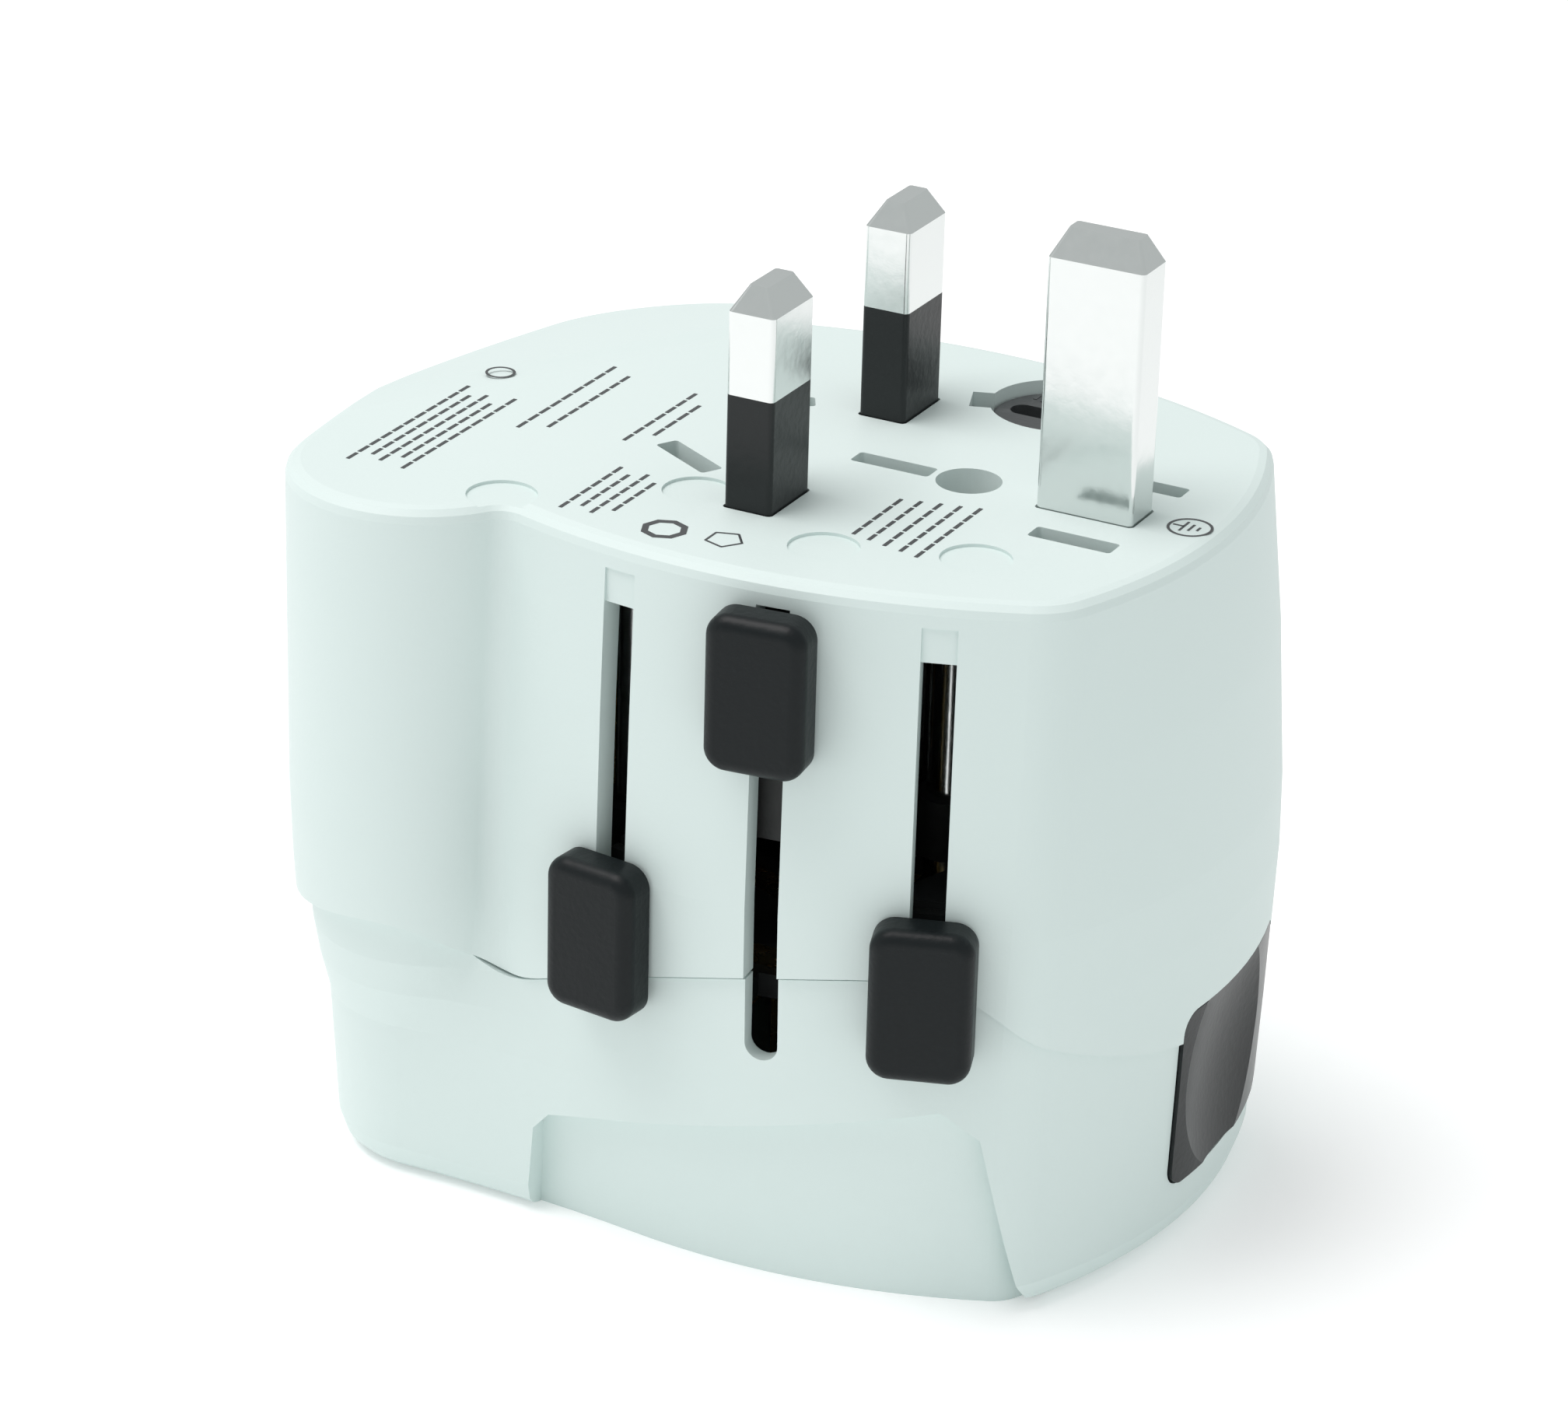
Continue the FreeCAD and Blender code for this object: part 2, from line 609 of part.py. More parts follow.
def us_carriage():
    z0 = CAR_LOW - TRAVEL
    z1 = CAR_TOP - TRAVEL
    boss_e = face_rod(3.4, US_EARTH_X, 0.0, z0, z1).common(
        face_box(AU_EARTH_X + 3.7, US_EARTH_X + 4.0, -4.0, 4.0, z0, z1))
    pads = [face_box(US_X - 4.6, US_X + 5.5, 4.2, 8.2, z0, z1),
            face_box(US_X - 4.6, US_X + 5.5, -8.2, -4.2, z0, z1),
            face_box(US_X + 4.0, US_X + 5.5, -8.2, 8.2, z0, z1), boss_e,
            face_box(10.0, 14.6, 1.5, 6.4, z0, z1), face_box(12.0, US_X - 4.0, 3.8, 6.4, z0, z1)]
    lever = [bar((US_X - 1.8, -7.0), bar_reach(2, 4.0), 4.0, z0, z1), bar_foot(2, 4.0, z0, z1)]
    place = rod_places()["us"]
    boss = [face_rod(ROD_BOSS_R, place[0], place[1], z0, z1),
            face_box(place[0] - 2.0, place[0] + 0.2, place[1], -8.0, z0, z1)]
    whole = join(pads + lever + boss)
    return cut(whole, [us_blade(1), us_blade(-1), us_earth(),
                       face_rod(ROD_R + ROD_FIT, place[0], place[1], z0 - 1, z1 + 1)])


# ---- sliding contacts under each carriage and the rails they run on

RAIL_THICK = 0.6
RAIL_TOP = UNDER_TOP - 0.8
BRUSH_THICK = 0.5
BRUSH_GAP = 0.1
UK_RAIL_Y = UK_PITCH_Y + 5.6
US_RAIL_Y = US_PITCH_Y + 3.15
AU_RAIL_X = AU_X - 5.25
EARTH_RAIL_X = 16.0
BUS_Y = UK_RAIL_Y + 0.7


def uk_brushes():
    z1 = CAR_LOW
    z0 = z1 - BRUSH_THICK
    edge = UK_RAIL_Y - RAIL_THICK / 2 - BRUSH_GAP
    near = UK_PITCH_Y + PIN_WIDE / 2
    earth = face_box(EARTH_RAIL_X + RAIL_THICK / 2 + BRUSH_GAP, UK_EARTH_X - EARTH_LONG / 2,
                     -1.0, 1.0, z0, z1)
    return Part.makeCompound([face_box(-1.7, 0.7, near, edge, z0, z1),
                              face_box(-1.7, 0.7, -edge, -near, z0, z1), earth])


def us_brushes():
    z1 = CAR_LOW - TRAVEL
    z0 = z1 - BRUSH_THICK
    edge = US_RAIL_Y - RAIL_THICK / 2 - BRUSH_GAP
    near = US_PITCH_Y + US_THICK / 2
    earth = face_box(US_EARTH_X, EARTH_RAIL_X - RAIL_THICK / 2 - BRUSH_GAP, 0.6, 2.4, z0, z1)
    earth = earth.cut(us_earth())
    return Part.makeCompound([face_box(US_X - 2.7, US_X - 0.7, near, edge, z0, z1),
                              face_box(US_X + 1.9, US_X + 3.9, -edge, -near, z0, z1), earth])


def au_brushes():
    z1 = CAR_LOW - TRAVEL
    z0 = z1 - BRUSH_THICK
    edge = AU_RAIL_X + RAIL_THICK / 2 + BRUSH_GAP
    solids = []
    for side in (1, -1):
        flat = face_box(edge, AU_X, side * AU_PITCH_Y - 1.0, side * AU_PITCH_Y + 1.0, z0, z1)
        solids.append(flat.cut(au_blade(side)).Solids[0])
    top = CAR_TOP - TRAVEL
    solids.append(face_box(edge, AU_EARTH_X - PIN_WIDE / 2, -1.0, 1.0, top - 0.6, top))
    return Part.makeCompound(solids)


def riser(x0, x1, y0, y1):
    return face_box(x0, x1, y0, y1, FLOOR_TOP, RAIL_TOP)


def neutral_bus_bar():
    y = -UK_RAIL_Y
    half = RAIL_THICK / 2
    path = ((AU_RAIL_X, -7.0), (AU_RAIL_X + 0.7, -BUS_Y), (9.6, -BUS_Y), (10.6, -13.2), (25.0, -10.4))
    strip_ = track(path, 1.6, FLOOR_TOP, FLOOR_TOP + BUS_THICK)
    return join([strip_, riser(-2.6, 1.0, y - half, y + half),
                 riser(AU_RAIL_X - half, AU_RAIL_X + half, -9.0, -5.0),
                 riser(US_X + 2.3, US_X + 4.2, -US_RAIL_Y - half, -US_RAIL_Y + half),
                 face_box(US_X + 1.0, US_X + 4.2, -10.9, -US_RAIL_Y, FLOOR_TOP, FLOOR_TOP + BUS_THICK)])


def line_bus_bar():
    y = UK_RAIL_Y
    half = RAIL_THICK / 2
    path = ((AU_RAIL_X, 7.0), (AU_RAIL_X + 0.7, BUS_Y), (-0.6, BUS_Y), (2.6, 10.2), (21.0, 10.0))
    strip_ = track(path, 1.6, FLOOR_TOP, FLOOR_TOP + BUS_THICK)
    return join([strip_, riser(-2.6, 1.0, y - half, y + half),
                 riser(AU_RAIL_X - half, AU_RAIL_X + half, 5.0, 9.0),
                 riser(US_X - 3.7, US_X - 0.2, US_RAIL_Y - half, US_RAIL_Y + half)])


def earth_bus_bar():
    half = RAIL_THICK / 2
    path = ((AU_RAIL_X, 0.0), (0.5, -7.0), (10.0, -7.0), (EARTH_RAIL_X, -0.5))
    strip_ = track(path, 1.6, FLOOR_TOP, FLOOR_TOP + BUS_THICK)
    return join([strip_, riser(AU_RAIL_X - half, AU_RAIL_X + half, -2.0, 2.0),
                 riser(EARTH_RAIL_X - half, EARTH_RAIL_X + half, -1.2, 2.6)])


# ---- socket contacts

def side_contact(side):
    """Two spring leaves either side of a pin, with a tab up to the bus bar."""
    gap = PIN_THICK / 2 + CONTACT_GAP
    leaf = [face_box(sx * (gap + CONTACT_THICK / 2) - CONTACT_THICK / 2,
                     sx * (gap + CONTACT_THICK / 2) + CONTACT_THICK / 2,
                     -1.9, 1.9, CONTACT_LOW, CONTACT_TOP) for sx in (1, -1)]
    for one in leaf:
        one.translate(Vector(0, side * UK_PITCH_Y, 0))
    ys = sorted((side * (UK_PITCH_Y - 2.6), side * (BUS_Y + 0.3)))
    bridge = face_box(-gap - CONTACT_THICK, gap + CONTACT_THICK, ys[0], ys[1], CONTACT_TOP - 0.8,
                      CONTACT_TOP)
    tab = sorted((side * (BUS_Y - 0.3), side * (BUS_Y + 0.3)))
    return join(leaf + [bridge, face_box(-1.5, 1.5, tab[0], tab[1], CONTACT_TOP - 0.8, FLOOR_TOP)])


def earth_contact():
    gap = PIN_THICK / 2 + CONTACT_GAP
    leaf = [face_box(UK_EARTH_X - 3.2, UK_EARTH_X + 3.2,
                     sy * (gap + CONTACT_THICK / 2) - CONTACT_THICK / 2,
                     sy * (gap + CONTACT_THICK / 2) + CONTACT_THICK / 2,
                     CONTACT_LOW, CONTACT_TOP) for sy in (1, -1)]
    bridge = face_box(EARTH_RAIL_X - 0.4, UK_EARTH_X + 3.2, -gap - CONTACT_THICK, gap + CONTACT_THICK,
                      CONTACT_TOP - 0.8, CONTACT_TOP)
    tab = face_box(EARTH_RAIL_X - 0.3, EARTH_RAIL_X + 0.3, -1.2, 0.4, CONTACT_TOP - 0.8, FLOOR_TOP)
    return join(leaf + [bridge, tab])


def socket_holes(grow, z0, z1):
    """The entry holes of the socket; grow widens them for the shrouds behind."""
    holes = []
    for side in (1, -1):
        y = side * UK_PITCH_Y
        holes.append(face_box(-2.2 - grow, 2.2 + grow, y - 3.4 - grow, y + 3.4 + grow, z0, z1))
        holes.append(face_rod(EU_HOLE_R + grow, 0.0, side * EU_PITCH_Y, z0, z1))
    holes.append(face_box(UK_EARTH_X - 4.2 - grow, UK_EARTH_X + 4.2 + grow, -2.2 - grow, 2.2 + grow,
                          z0, z1))
    return holes


def blade_holes(z0, z1):
    holes = []
    for side in (1, -1):
        holes.append(face_box(-3.5, 3.5, side * US_PITCH_Y - 0.95, side * US_PITCH_Y + 0.95, z0, z1))
    return holes


def socket_face():
    """The plate that closes the base, with the entries of the socket and the USB windows."""
    wide = Part.Face(base_outline(0.0, BASE_EDGE + SEAM_STEP + PLATE_GAP))
    slim = Part.Face(base_outline(PLATE_STEP, BASE_EDGE + LEDGE + SEAM_STEP + PLATE_GAP))
    plate = join([wide.extrude(Vector(0, 0, PLATE_STEP)),
                  slim.extrude(Vector(0, 0, BASE_WALL - PLATE_STEP))])
    shroud = join(socket_holes(1.1, BASE_WALL - 0.5, SHROUD_TOP))
    keep = face_box(-60.0, 60.0, -60.0, 60.0, 0.0, CONTACT_LOW)
    whole = join([plate, shroud.common(keep)])
    tools = socket_holes(0.0, -1.0, CONTACT_LOW + 1.0) + blade_holes(-1.0, CONTACT_LOW + 1.0)
    tools.append(face_rod(EARTH_BORE_R, EARTH_BORE_X, 0.0, -1.0, BASE_WALL + 1.0))
    tools += [rod(SCREW_POST_R + 0.4, x, y, -1.0, BASE_WALL + 1.0) for x, y in SCREW_PLACES]
    tools += [port_block(side, 0.15, -1.0, BASE_WALL + 1.0) for side in (1, -1)]
    return cut(whole, tools)


# ---- USB module

def port_block(side, grow, z0, z1):
    far = BOARD_X - BOARD_THICK
    return box(far - PORT_X - grow, far + grow, side * PORT_Y - PORT_WIDE / 2 - grow,
               side * PORT_Y + PORT_WIDE / 2 + grow, z0, z1)


def usb_port(side):
    """Metal shell of a port, open towards the base."""
    top = PORT_SINK + PORT_LONG
    shell = port_block(side, 0.0, PORT_SINK, top)
    room = port_block(side, -PORT_WALL, PORT_SINK - 1.0, top - PORT_WALL)
    return shell.cut(room)


def usb_tongues():
    solids = []
    middle = BOARD_X - BOARD_THICK - PORT_X / 2
    top = PORT_SINK + PORT_LONG - PORT_WALL
    for side in (1, -1):
        solids.append(box(middle - 0.95, middle + 0.95, side * PORT_Y - 5.5, side * PORT_Y + 5.5,
                          PORT_SINK + 1.2, top))
    return Part.makeCompound(solids)


def usb_board():
    return box(BOARD_X - BOARD_THICK, BOARD_X, -BOARD_HALF, BOARD_HALF, 4.0, UNDER_TOP - 7.8)


def usb_transformer():
    far = BOARD_X - BOARD_THICK
    block = box(far - 8.4, far, -8.0, 8.0, PORT_LONG + 7.0, PORT_LONG + 21.0)
    return block.makeFillet(0.8, [e for e in block.Edges if e.BoundBox.XMax < far - 0.1])


def usb_capacitors():
    x = BOARD_X - BOARD_THICK - 4.0
    low = PORT_LONG + 23.0
    return Part.makeCompound([rod(4.0, x, y, low, UNDER_TOP - 8.0) for y in (-6.0, 6.0)])


# ---- fuse

def fuse_holder():
    x = FUSE_X
    y = FUSE_Y
    tube = face_rod(HOLDER_R, x, y, FLOOR_TOP, UNDER_TOP - 2.0)
    return tube.cut(face_rod(HOLDER_BORE_R, x, y, fuse_low() - 5.0, UNDER_TOP))


def fuse_low():
    return UNDER_TOP - 4.3 - FUSE_LONG


def fuse():
    x = FUSE_X
    y = FUSE_Y
    low = fuse_low()
    top = low + FUSE_LONG
    return join([face_rod(FUSE_R, x, y, low, low + 5.0), face_rod(FUSE_R - 0.25, x, y, low + 4.5, top - 4.5),
                 face_rod(FUSE_R, x, y, top - 5.0, top)])


def coil(r, wire_r, long, turns):
    """A helical spring standing on the origin, as a ruled skin through octagons along the wire."""
    sides = 8
    steps = 14 * turns
    rings = []
    for i in range(steps + 1):
        turn = 2 * math.pi * turns * i / steps
        z = wire_r + (long - 2 * wire_r) * i / steps
        out = Vector(math.cos(turn), math.sin(turn), 0)
        points = []
        for k in range(sides):
            a = 2 * math.pi * k / sides
            points.append(Vector(out).multiply(r + wire_r * math.cos(a)).add(
                Vector(0, 0, z + wire_r * math.sin(a))))
        rings.append(Part.makePolygon(points + [points[0]]))
    return loft(rings)


def fuse_spring():
    spring = coil(2.3, 0.3, 5.0, 4)
    spring.translate(Vector(FACE_X + FUSE_X, FACE_Y + FUSE_Y, fuse_low() - 5.0))
    return spring


def fuse_cap():
    """Quarter-turn cap with a coin slot, two ears under the plug face and a contact stem."""
    low = UNDER_TOP - 1.7
    top = BODY_HEIGHT - FUSE_SINK
    disc = rod(FUSE_CAP_R, 0, 0, low, top)
    disc = disc.makeFillet(0.3, [e for e in disc.Edges if e.BoundBox.ZMin > top - 0.01])
    ears = box(-FUSE_EAR_R, FUSE_EAR_R, -1.4, 1.4, low, UNDER_TOP - 0.3)
    ears = ears.common(rod(FUSE_EAR_R, 0, 0, low, top))
    ears.rotate(Vector(0, 0, 0), Vector(0, 0, 1), FUSE_NOTCH_TURN - 90.0)
    stem = rod(FUSE_R - 0.2, 0, 0, fuse_low() + FUSE_LONG, low + 0.5)
    slot = box(-4.2, 4.2, -1.05, 1.05, top - 1.3, top + 1.0)
    slot = slot.makeFillet(1.0, [e for e in slot.Edges if e.BoundBox.ZLength > 2.0])
    return put(join([disc, ears, stem]).cut(slot), FUSE_X, FUSE_Y)


def fuse_opening():
    notch = box(-FUSE_NOTCH_R, FUSE_NOTCH_R, -1.6, 1.6, UNDER_TOP - 1.0, BODY_HEIGHT + 1.0)
    notch.rotate(Vector(0, 0, 0), Vector(0, 0, 1), FUSE_NOTCH_TURN)
    return put(join([notch, rod(FUSE_HOLE_R, 0, 0, UNDER_TOP - 1.0, BODY_HEIGHT + 1.0)]),
               FUSE_X, FUSE_Y)


# ---- button

def button_window(grow):
    """The window of the button with rounded corners, widened by grow."""
    block = box(BODY_HALF_WIDTH - 13.0, BODY_HALF_WIDTH + 6.0, BUTTON_Y0 - grow, BUTTON_Y1 + grow,
                BUTTON_Z0 - grow, BUTTON_Z1 + grow)
    return block.makeFillet(BUTTON_CORNER + grow, [e for e in block.Edges if e.BoundBox.XLength > 1.0])


def release_button():
    """Button plate that follows the wall, with a finger dish and a flange behind the wall."""
    skin = lower_solid(-BUTTON_PROUD - SEAM_STEP / 2, LOWER_SECTIONS[0][0] - 0.1, False)
    core = lower_solid(LOWER_WALL + 0.3, 0.0, False)
    inner = lower_solid(LOWER_WALL + 0.3 + FLANGE_THICK, 0.0, False)
    plate = skin.cut(core).common(button_window(-BUTTON_GAP))
    window = box(BODY_HALF_WIDTH - 13.0, BODY_HALF_WIDTH, BUTTON_Y0 - 1.2, BUTTON_Y1 - 2.5,
                 BUTTON_Z0 - 1.1, BUTTON_Z1 + 0.8)
    flange = lower_solid(LOWER_WALL + 0.25, 0.0, False).cut(inner).common(window)
    mid_y = (BUTTON_Y0 + BUTTON_Y1) / 2
    mid_z = (BUTTON_Z0 + BUTTON_Z1) / 2
    face_x = BODY_HALF_WIDTH + FLARE_X - 1.4
    dish = Part.makeSphere(DISH_R, Vector(face_x - DISH_DEEP + DISH_R + 0.2, mid_y, mid_z))
    return join([plate, flange]).cut(dish)


def flange_back(y):
    """X of the back of the button flange at a plan position, near half height."""
    r = RIGHT_RADIUS - 0.75 - SEAM_STEP - LOWER_WALL - 0.3 - FLANGE_THICK
    return BODY_HALF_WIDTH - RIGHT_RADIUS + FLARE_X + math.sqrt(r * r - (y - FLARE_Y) ** 2)


BLADE_Y = 9.2
SPRING_Y = 5.6
SPRING_Z = 13.0
SPRING_POST = 24.6


def latch_blade():
    """Upright blade behind the button that reaches up beside the carriages."""
    back = flange_back(BLADE_Y + 1.0) - 0.35
    low = box(back - 0.9, back, BLADE_Y - 1.0, BLADE_Y + 1.0, 10.0, UNDER_TOP - 7.8)
    inner = lower_solid(LOWER_WALL + 0.3 + FLANGE_THICK, 0.0, False)
    pad = box(back - 0.5, back + 2.0, BLADE_Y - 1.0, BLADE_Y + 1.0, 10.0, BUTTON_Z1 - 2.0)
    return join([low, pad.common(inner)])


def button_spring():
    """Return spring between the button and the blind seat of its post."""
    start = SPRING_POST - 2.2
    end = flange_back(SPRING_Y + 2.2) - 0.1
    spring = coil(2.0, 0.3, end - start, 6)
    spring.rotate(Vector(0, 0, 0), Vector(0, 1, 0), 90.0)
    spring.translate(Vector(start, SPRING_Y, SPRING_Z))
    return spring


# ---- frame pieces

def chassis():
    """The plate between the upper and lower housing that carries rods, bus bars and fuse."""
    plan = Part.Face(outline(FLOOR_LOW, 0.0, 0.3, LOWER_WALL + 1.3, 0.8)).extrude(Vector(0, 0, FLOOR_THICK))
    plate = plan.cut(box(-BODY_HALF_WIDTH - 5.0, BOARD_X, -40.0, 40.0, FLOOR_LOW - 1.0, FLOOR_TOP + 1.0))
    seat_x1 = SPRING_POST
    post = box(seat_x1 - 4.6, seat_x1, SPRING_Y - 3.0, SPRING_Y + 3.0, SPRING_Z - 3.4, FLOOR_LOW + 0.5)
    post = post.cut(face_box(UK_EARTH_X - 6.0, UK_EARTH_X + 4.0, -3.6, 3.6, 0.0, CONTACT_TOP + 0.6))
    tools = [rod(SCREW_R + 0.15, x, y, FLOOR_LOW - 1.0, FLOOR_TOP + 1.0) for x, y in SCREW_PLACES]
    tools.append(face_box(3.2, 8.0, -5.6, 5.6, FLOOR_LOW - 1.0, FLOOR_TOP + 1.0))
    tools.append(box(25.6, 40.0, BLADE_Y - 1.5, BLADE_Y + 1.5, FLOOR_LOW - 1.0, FLOOR_TOP + 1.0))
    for side in (1, -1):
        ys = sorted((side * (BUS_Y - 0.5), side * (BUS_Y + 0.5)))
        tools.append(face_box(-1.7, 1.7, ys[0], ys[1], FLOOR_LOW - 1.0, FLOOR_TOP + 1.0))
    tools.append(face_box(EARTH_RAIL_X - 0.5, EARTH_RAIL_X + 0.5, -1.4, 0.6, FLOOR_LOW - 1.0,
                          FLOOR_TOP + 1.0))
    seat = Part.makeCylinder(2.6, 4.2, Vector(seat_x1 - 3.9, SPRING_Y, SPRING_Z), Vector(1, 0, 0))
    tools.append(seat)
    for index in range(3):
        tools.append(strip_pocket(index))
    return cut(join([plate, post]), tools)


def guide_rods():
    return Part.makeCompound([face_rod(ROD_R, x, y, FLOOR_TOP, UNDER_TOP)
                              for x, y in rod_places().values()])


def housing_screws():
    solids = []
    for x, y in SCREW_PLACES:
        head = rod(SCREW_HEAD_R, x, y, 1.6, 3.2)
        cross = join([box(x - 1.3, x + 1.3, y - 0.3, y + 0.3, 1.0, 2.3),
                      box(x - 0.3, x + 0.3, y - 1.3, y + 1.3, 1.0, 2.3)])
        solids.append(join([head, rod(SCREW_R, x, y, 3.0, FLOOR_TOP + 9.0)]).cut(cross))
    return Part.makeCompound(solids)


def plug_openings():
    """Every opening in the plug face, right through the top wall."""
    z0 = UNDER_TOP - 1.0
    z1 = BODY_HEIGHT + 1.0
    c = 2 * PIN_CLEAR
    tools = []
    for side in (1, -1):
        tools.append(put(rounded_block(PIN_THICK + c, PIN_WIDE + c, PIN_EDGE, z0, z1),
                         0.0, side * UK_PITCH_Y))
        tools.append(put(rounded_block(PIN_WIDE + 0.35, AU_THICK + 0.3, 0.3, z0, z1),
                         AU_X, side * AU_PITCH_Y, side * AU_TURN))
        tools.append(put(rounded_block(PIN_WIDE + 0.5, US_THICK + 0.5, 0.3, z0, z1),
                         US_X, side * US_PITCH_Y))
    tools.append(put(rounded_block(EARTH_LONG + c, PIN_THICK + c, PIN_EDGE, z0, z1), UK_EARTH_X, 0.0))
    tools.append(put(rounded_block(PIN_WIDE + 0.35, AU_THICK + 0.3, 0.3, z0, z1), AU_EARTH_X, 0.0))
    tools.append(face_rod(US_EARTH_R + 0.2, US_EARTH_X, 0.0, z0, z1))
    tools.append(fuse_opening())
    for x, y in ((-5.2, -12.5), (8.1, -17.2), (18.8, -13.3), (-17.5, -20.9)):
        tools.append(face_rod(2.75, x, y, BODY_HEIGHT - 0.25, z1))
    return tools


def upper_housing():
    outer = cut(upper_solid(0.0, BODY_HEIGHT), above_slope(0.0) + [below_seam(0.0)])
    room = cut(upper_solid(WALL, UNDER_TOP), above_slope(TOP_WALL))
    shell = outer.cut(room)
    bosses = [rod(SCREW_BOSS_R, x, y, FLOOR_TOP, UNDER_TOP + 0.5) for x, y in SCREW_PLACES]
    whole = join([shell] + bosses)
    tools = [rod(SCREW_R, x, y, FLOOR_TOP - 1.0, FLOOR_TOP + 11.0) for x, y in SCREW_PLACES]
    tools += [slot_cutter(index) for index in range(3)]
    tools += plug_openings()
    tools.append(button_window(0.0))
    return cut(whole, tools)


def grip_recess(side):
    """Sunk finger grip at the foot of the front or back wall, deeper towards the base."""
    points = [Vector(-11.2, 0, -1.0), Vector(-10.4, 0, 8.0), Vector(-9.0, 0, 9.6), Vector(24.0, 0, 17.8),
              Vector(26.8, 0, 15.6),
              Vector(30.2, 0, -1.0)]
    wire = Part.makePolygon(points + [points[0]])
    block = Part.Face(wire).extrude(Vector(0, side * 45.0, 0))
    return block.cut(lower_solid(0.0, 0.0, False, -0.6, 3.0))


def lower_housing():
    """Lower shell with lip, base ring, screw posts, grip recesses and slots."""
    outer = lower_solid(0.0, 0.0, True)
    room = lower_solid(LOWER_WALL, BASE_WALL, False)
    body = outer.common(below_seam(-SEAM_GAP)).cut(room)
    lip = upper_solid(WALL + LIP_GAP, UNDER_TOP, LIP_LOW)
    lip = lip.cut(upper_solid(LOWER_WALL + 0.1, UNDER_TOP, LIP_LOW - 1.0))
    lip = lip.common(below_seam(LIP_HEIGHT)).cut(below_seam(-4.0))
    lip = lip.cut(room.common(below_seam(-SEAM_GAP - 6.0)))
    posts = [rod(SCREW_POST_R, x, y, 0.0, FLOOR_LOW) for x, y in SCREW_PLACES]
    for x, y in SCREW_PLACES[:2]:
        ends = sorted((y, math.copysign(BODY_HALF_DEPTH, y)))
        posts.append(box(x - RIB_THICK / 2, x + RIB_THICK / 2, ends[0], ends[1],
                         BASE_WALL + 0.3, FLOOR_LOW).common(lower_solid(WALL / 2, 0.0, False)))
    wide = Part.Face(base_outline(-1.0, BASE_EDGE + SEAM_STEP))
    slim = Part.Face(base_outline(-1.0, BASE_EDGE + LEDGE + SEAM_STEP))
    hole = join([wide.extrude(Vector(0, 0, PLATE_STEP + 1.0)),
                 slim.extrude(Vector(0, 0, BASE_WALL + 1.5))])
    body = cut(body, [grip_recess(1), grip_recess(-1), hole])
    whole = join([body, lip] + posts)
    tools = [slot_cutter(index) for index in range(3)]
    tools += [strip_pocket(index) for index in range(3)]
    tools += [rod(SCREW_HEAD_R + 0.15, x, y, -1.0, 3.2) for x, y in SCREW_PLACES]
    tools += [rod(SCREW_R + 0.15, x, y, -1.0, FLOOR_TOP) for x, y in SCREW_PLACES]
    tools.append(button_window(0.0))
    return cut(whole, tools)


def main():
    os.makedirs("parts", exist_ok=True)
    pieces = {
        "upper_housing": upper_housing(),
        "lower_housing": lower_housing(),
        "chassis": chassis(),
        "socket_face": socket_face(),
        "line_contact": side_contact(1),
        "neutral_contact": side_contact(-1),
        "earth_contact": earth_contact(),
        "line_bus_bar": line_bus_bar(),
        "neutral_bus_bar": neutral_bus_bar(),
        "earth_bus_bar": earth_bus_bar(),
        "fuse_holder": fuse_holder(),
        "fuse": fuse(),
        "fuse_spring": fuse_spring(),
        "fuse_cap": fuse_cap(),
        "guide_rods": guide_rods(),
        "housing_screws": housing_screws(),
        "usb_board": usb_board(),
        "usb_port_front": usb_port(-1),
        "usb_port_rear": usb_port(1),
        "usb_tongues": usb_tongues(),
        "usb_transformer": usb_transformer(),
        "usb_capacitors": usb_capacitors(),
        "uk_carriage": uk_carriage(),
        "uk_line_pin": uk_pin(1),
        "uk_neutral_pin": uk_pin(-1),
        "uk_earth_pin": uk_earth(),
        "uk_line_sleeve": uk_sleeve(1),
        "uk_neutral_sleeve": uk_sleeve(-1),
        "uk_slider_knob": knob(1),
        "uk_shield_strip": strip(1),
        "uk_brushes": uk_brushes(),
        "au_carriage": au_carriage(),
        "au_line_blade": au_blade(1),
        "au_neutral_blade": au_blade(-1),
        "au_earth_blade": au_earth(),
        "au_slider_knob": knob(0),
        "au_shield_strip": strip(0),
        "au_brushes": au_brushes(),
        "us_carriage": us_carriage(),
        "us_line_blade": us_blade(1),
        "us_neutral_blade": us_blade(-1),
        "us_earth_pin": us_earth(),
        "us_slider_knob": knob(2),
        "us_shield_strip": strip(2),
        "us_brushes": us_brushes(),
        "release_button": release_button(),
        "latch_blade": latch_blade(),
        "button_spring": button_spring(),
    }
    for name, shape in pieces.items():
        shape.exportStep("parts/" + name + ".step")


main()
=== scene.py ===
import math

import bpy
import numpy as np
from bpy.props import FloatProperty, FloatVectorProperty, IntProperty, PointerProperty
from mathutils import Matrix, Vector


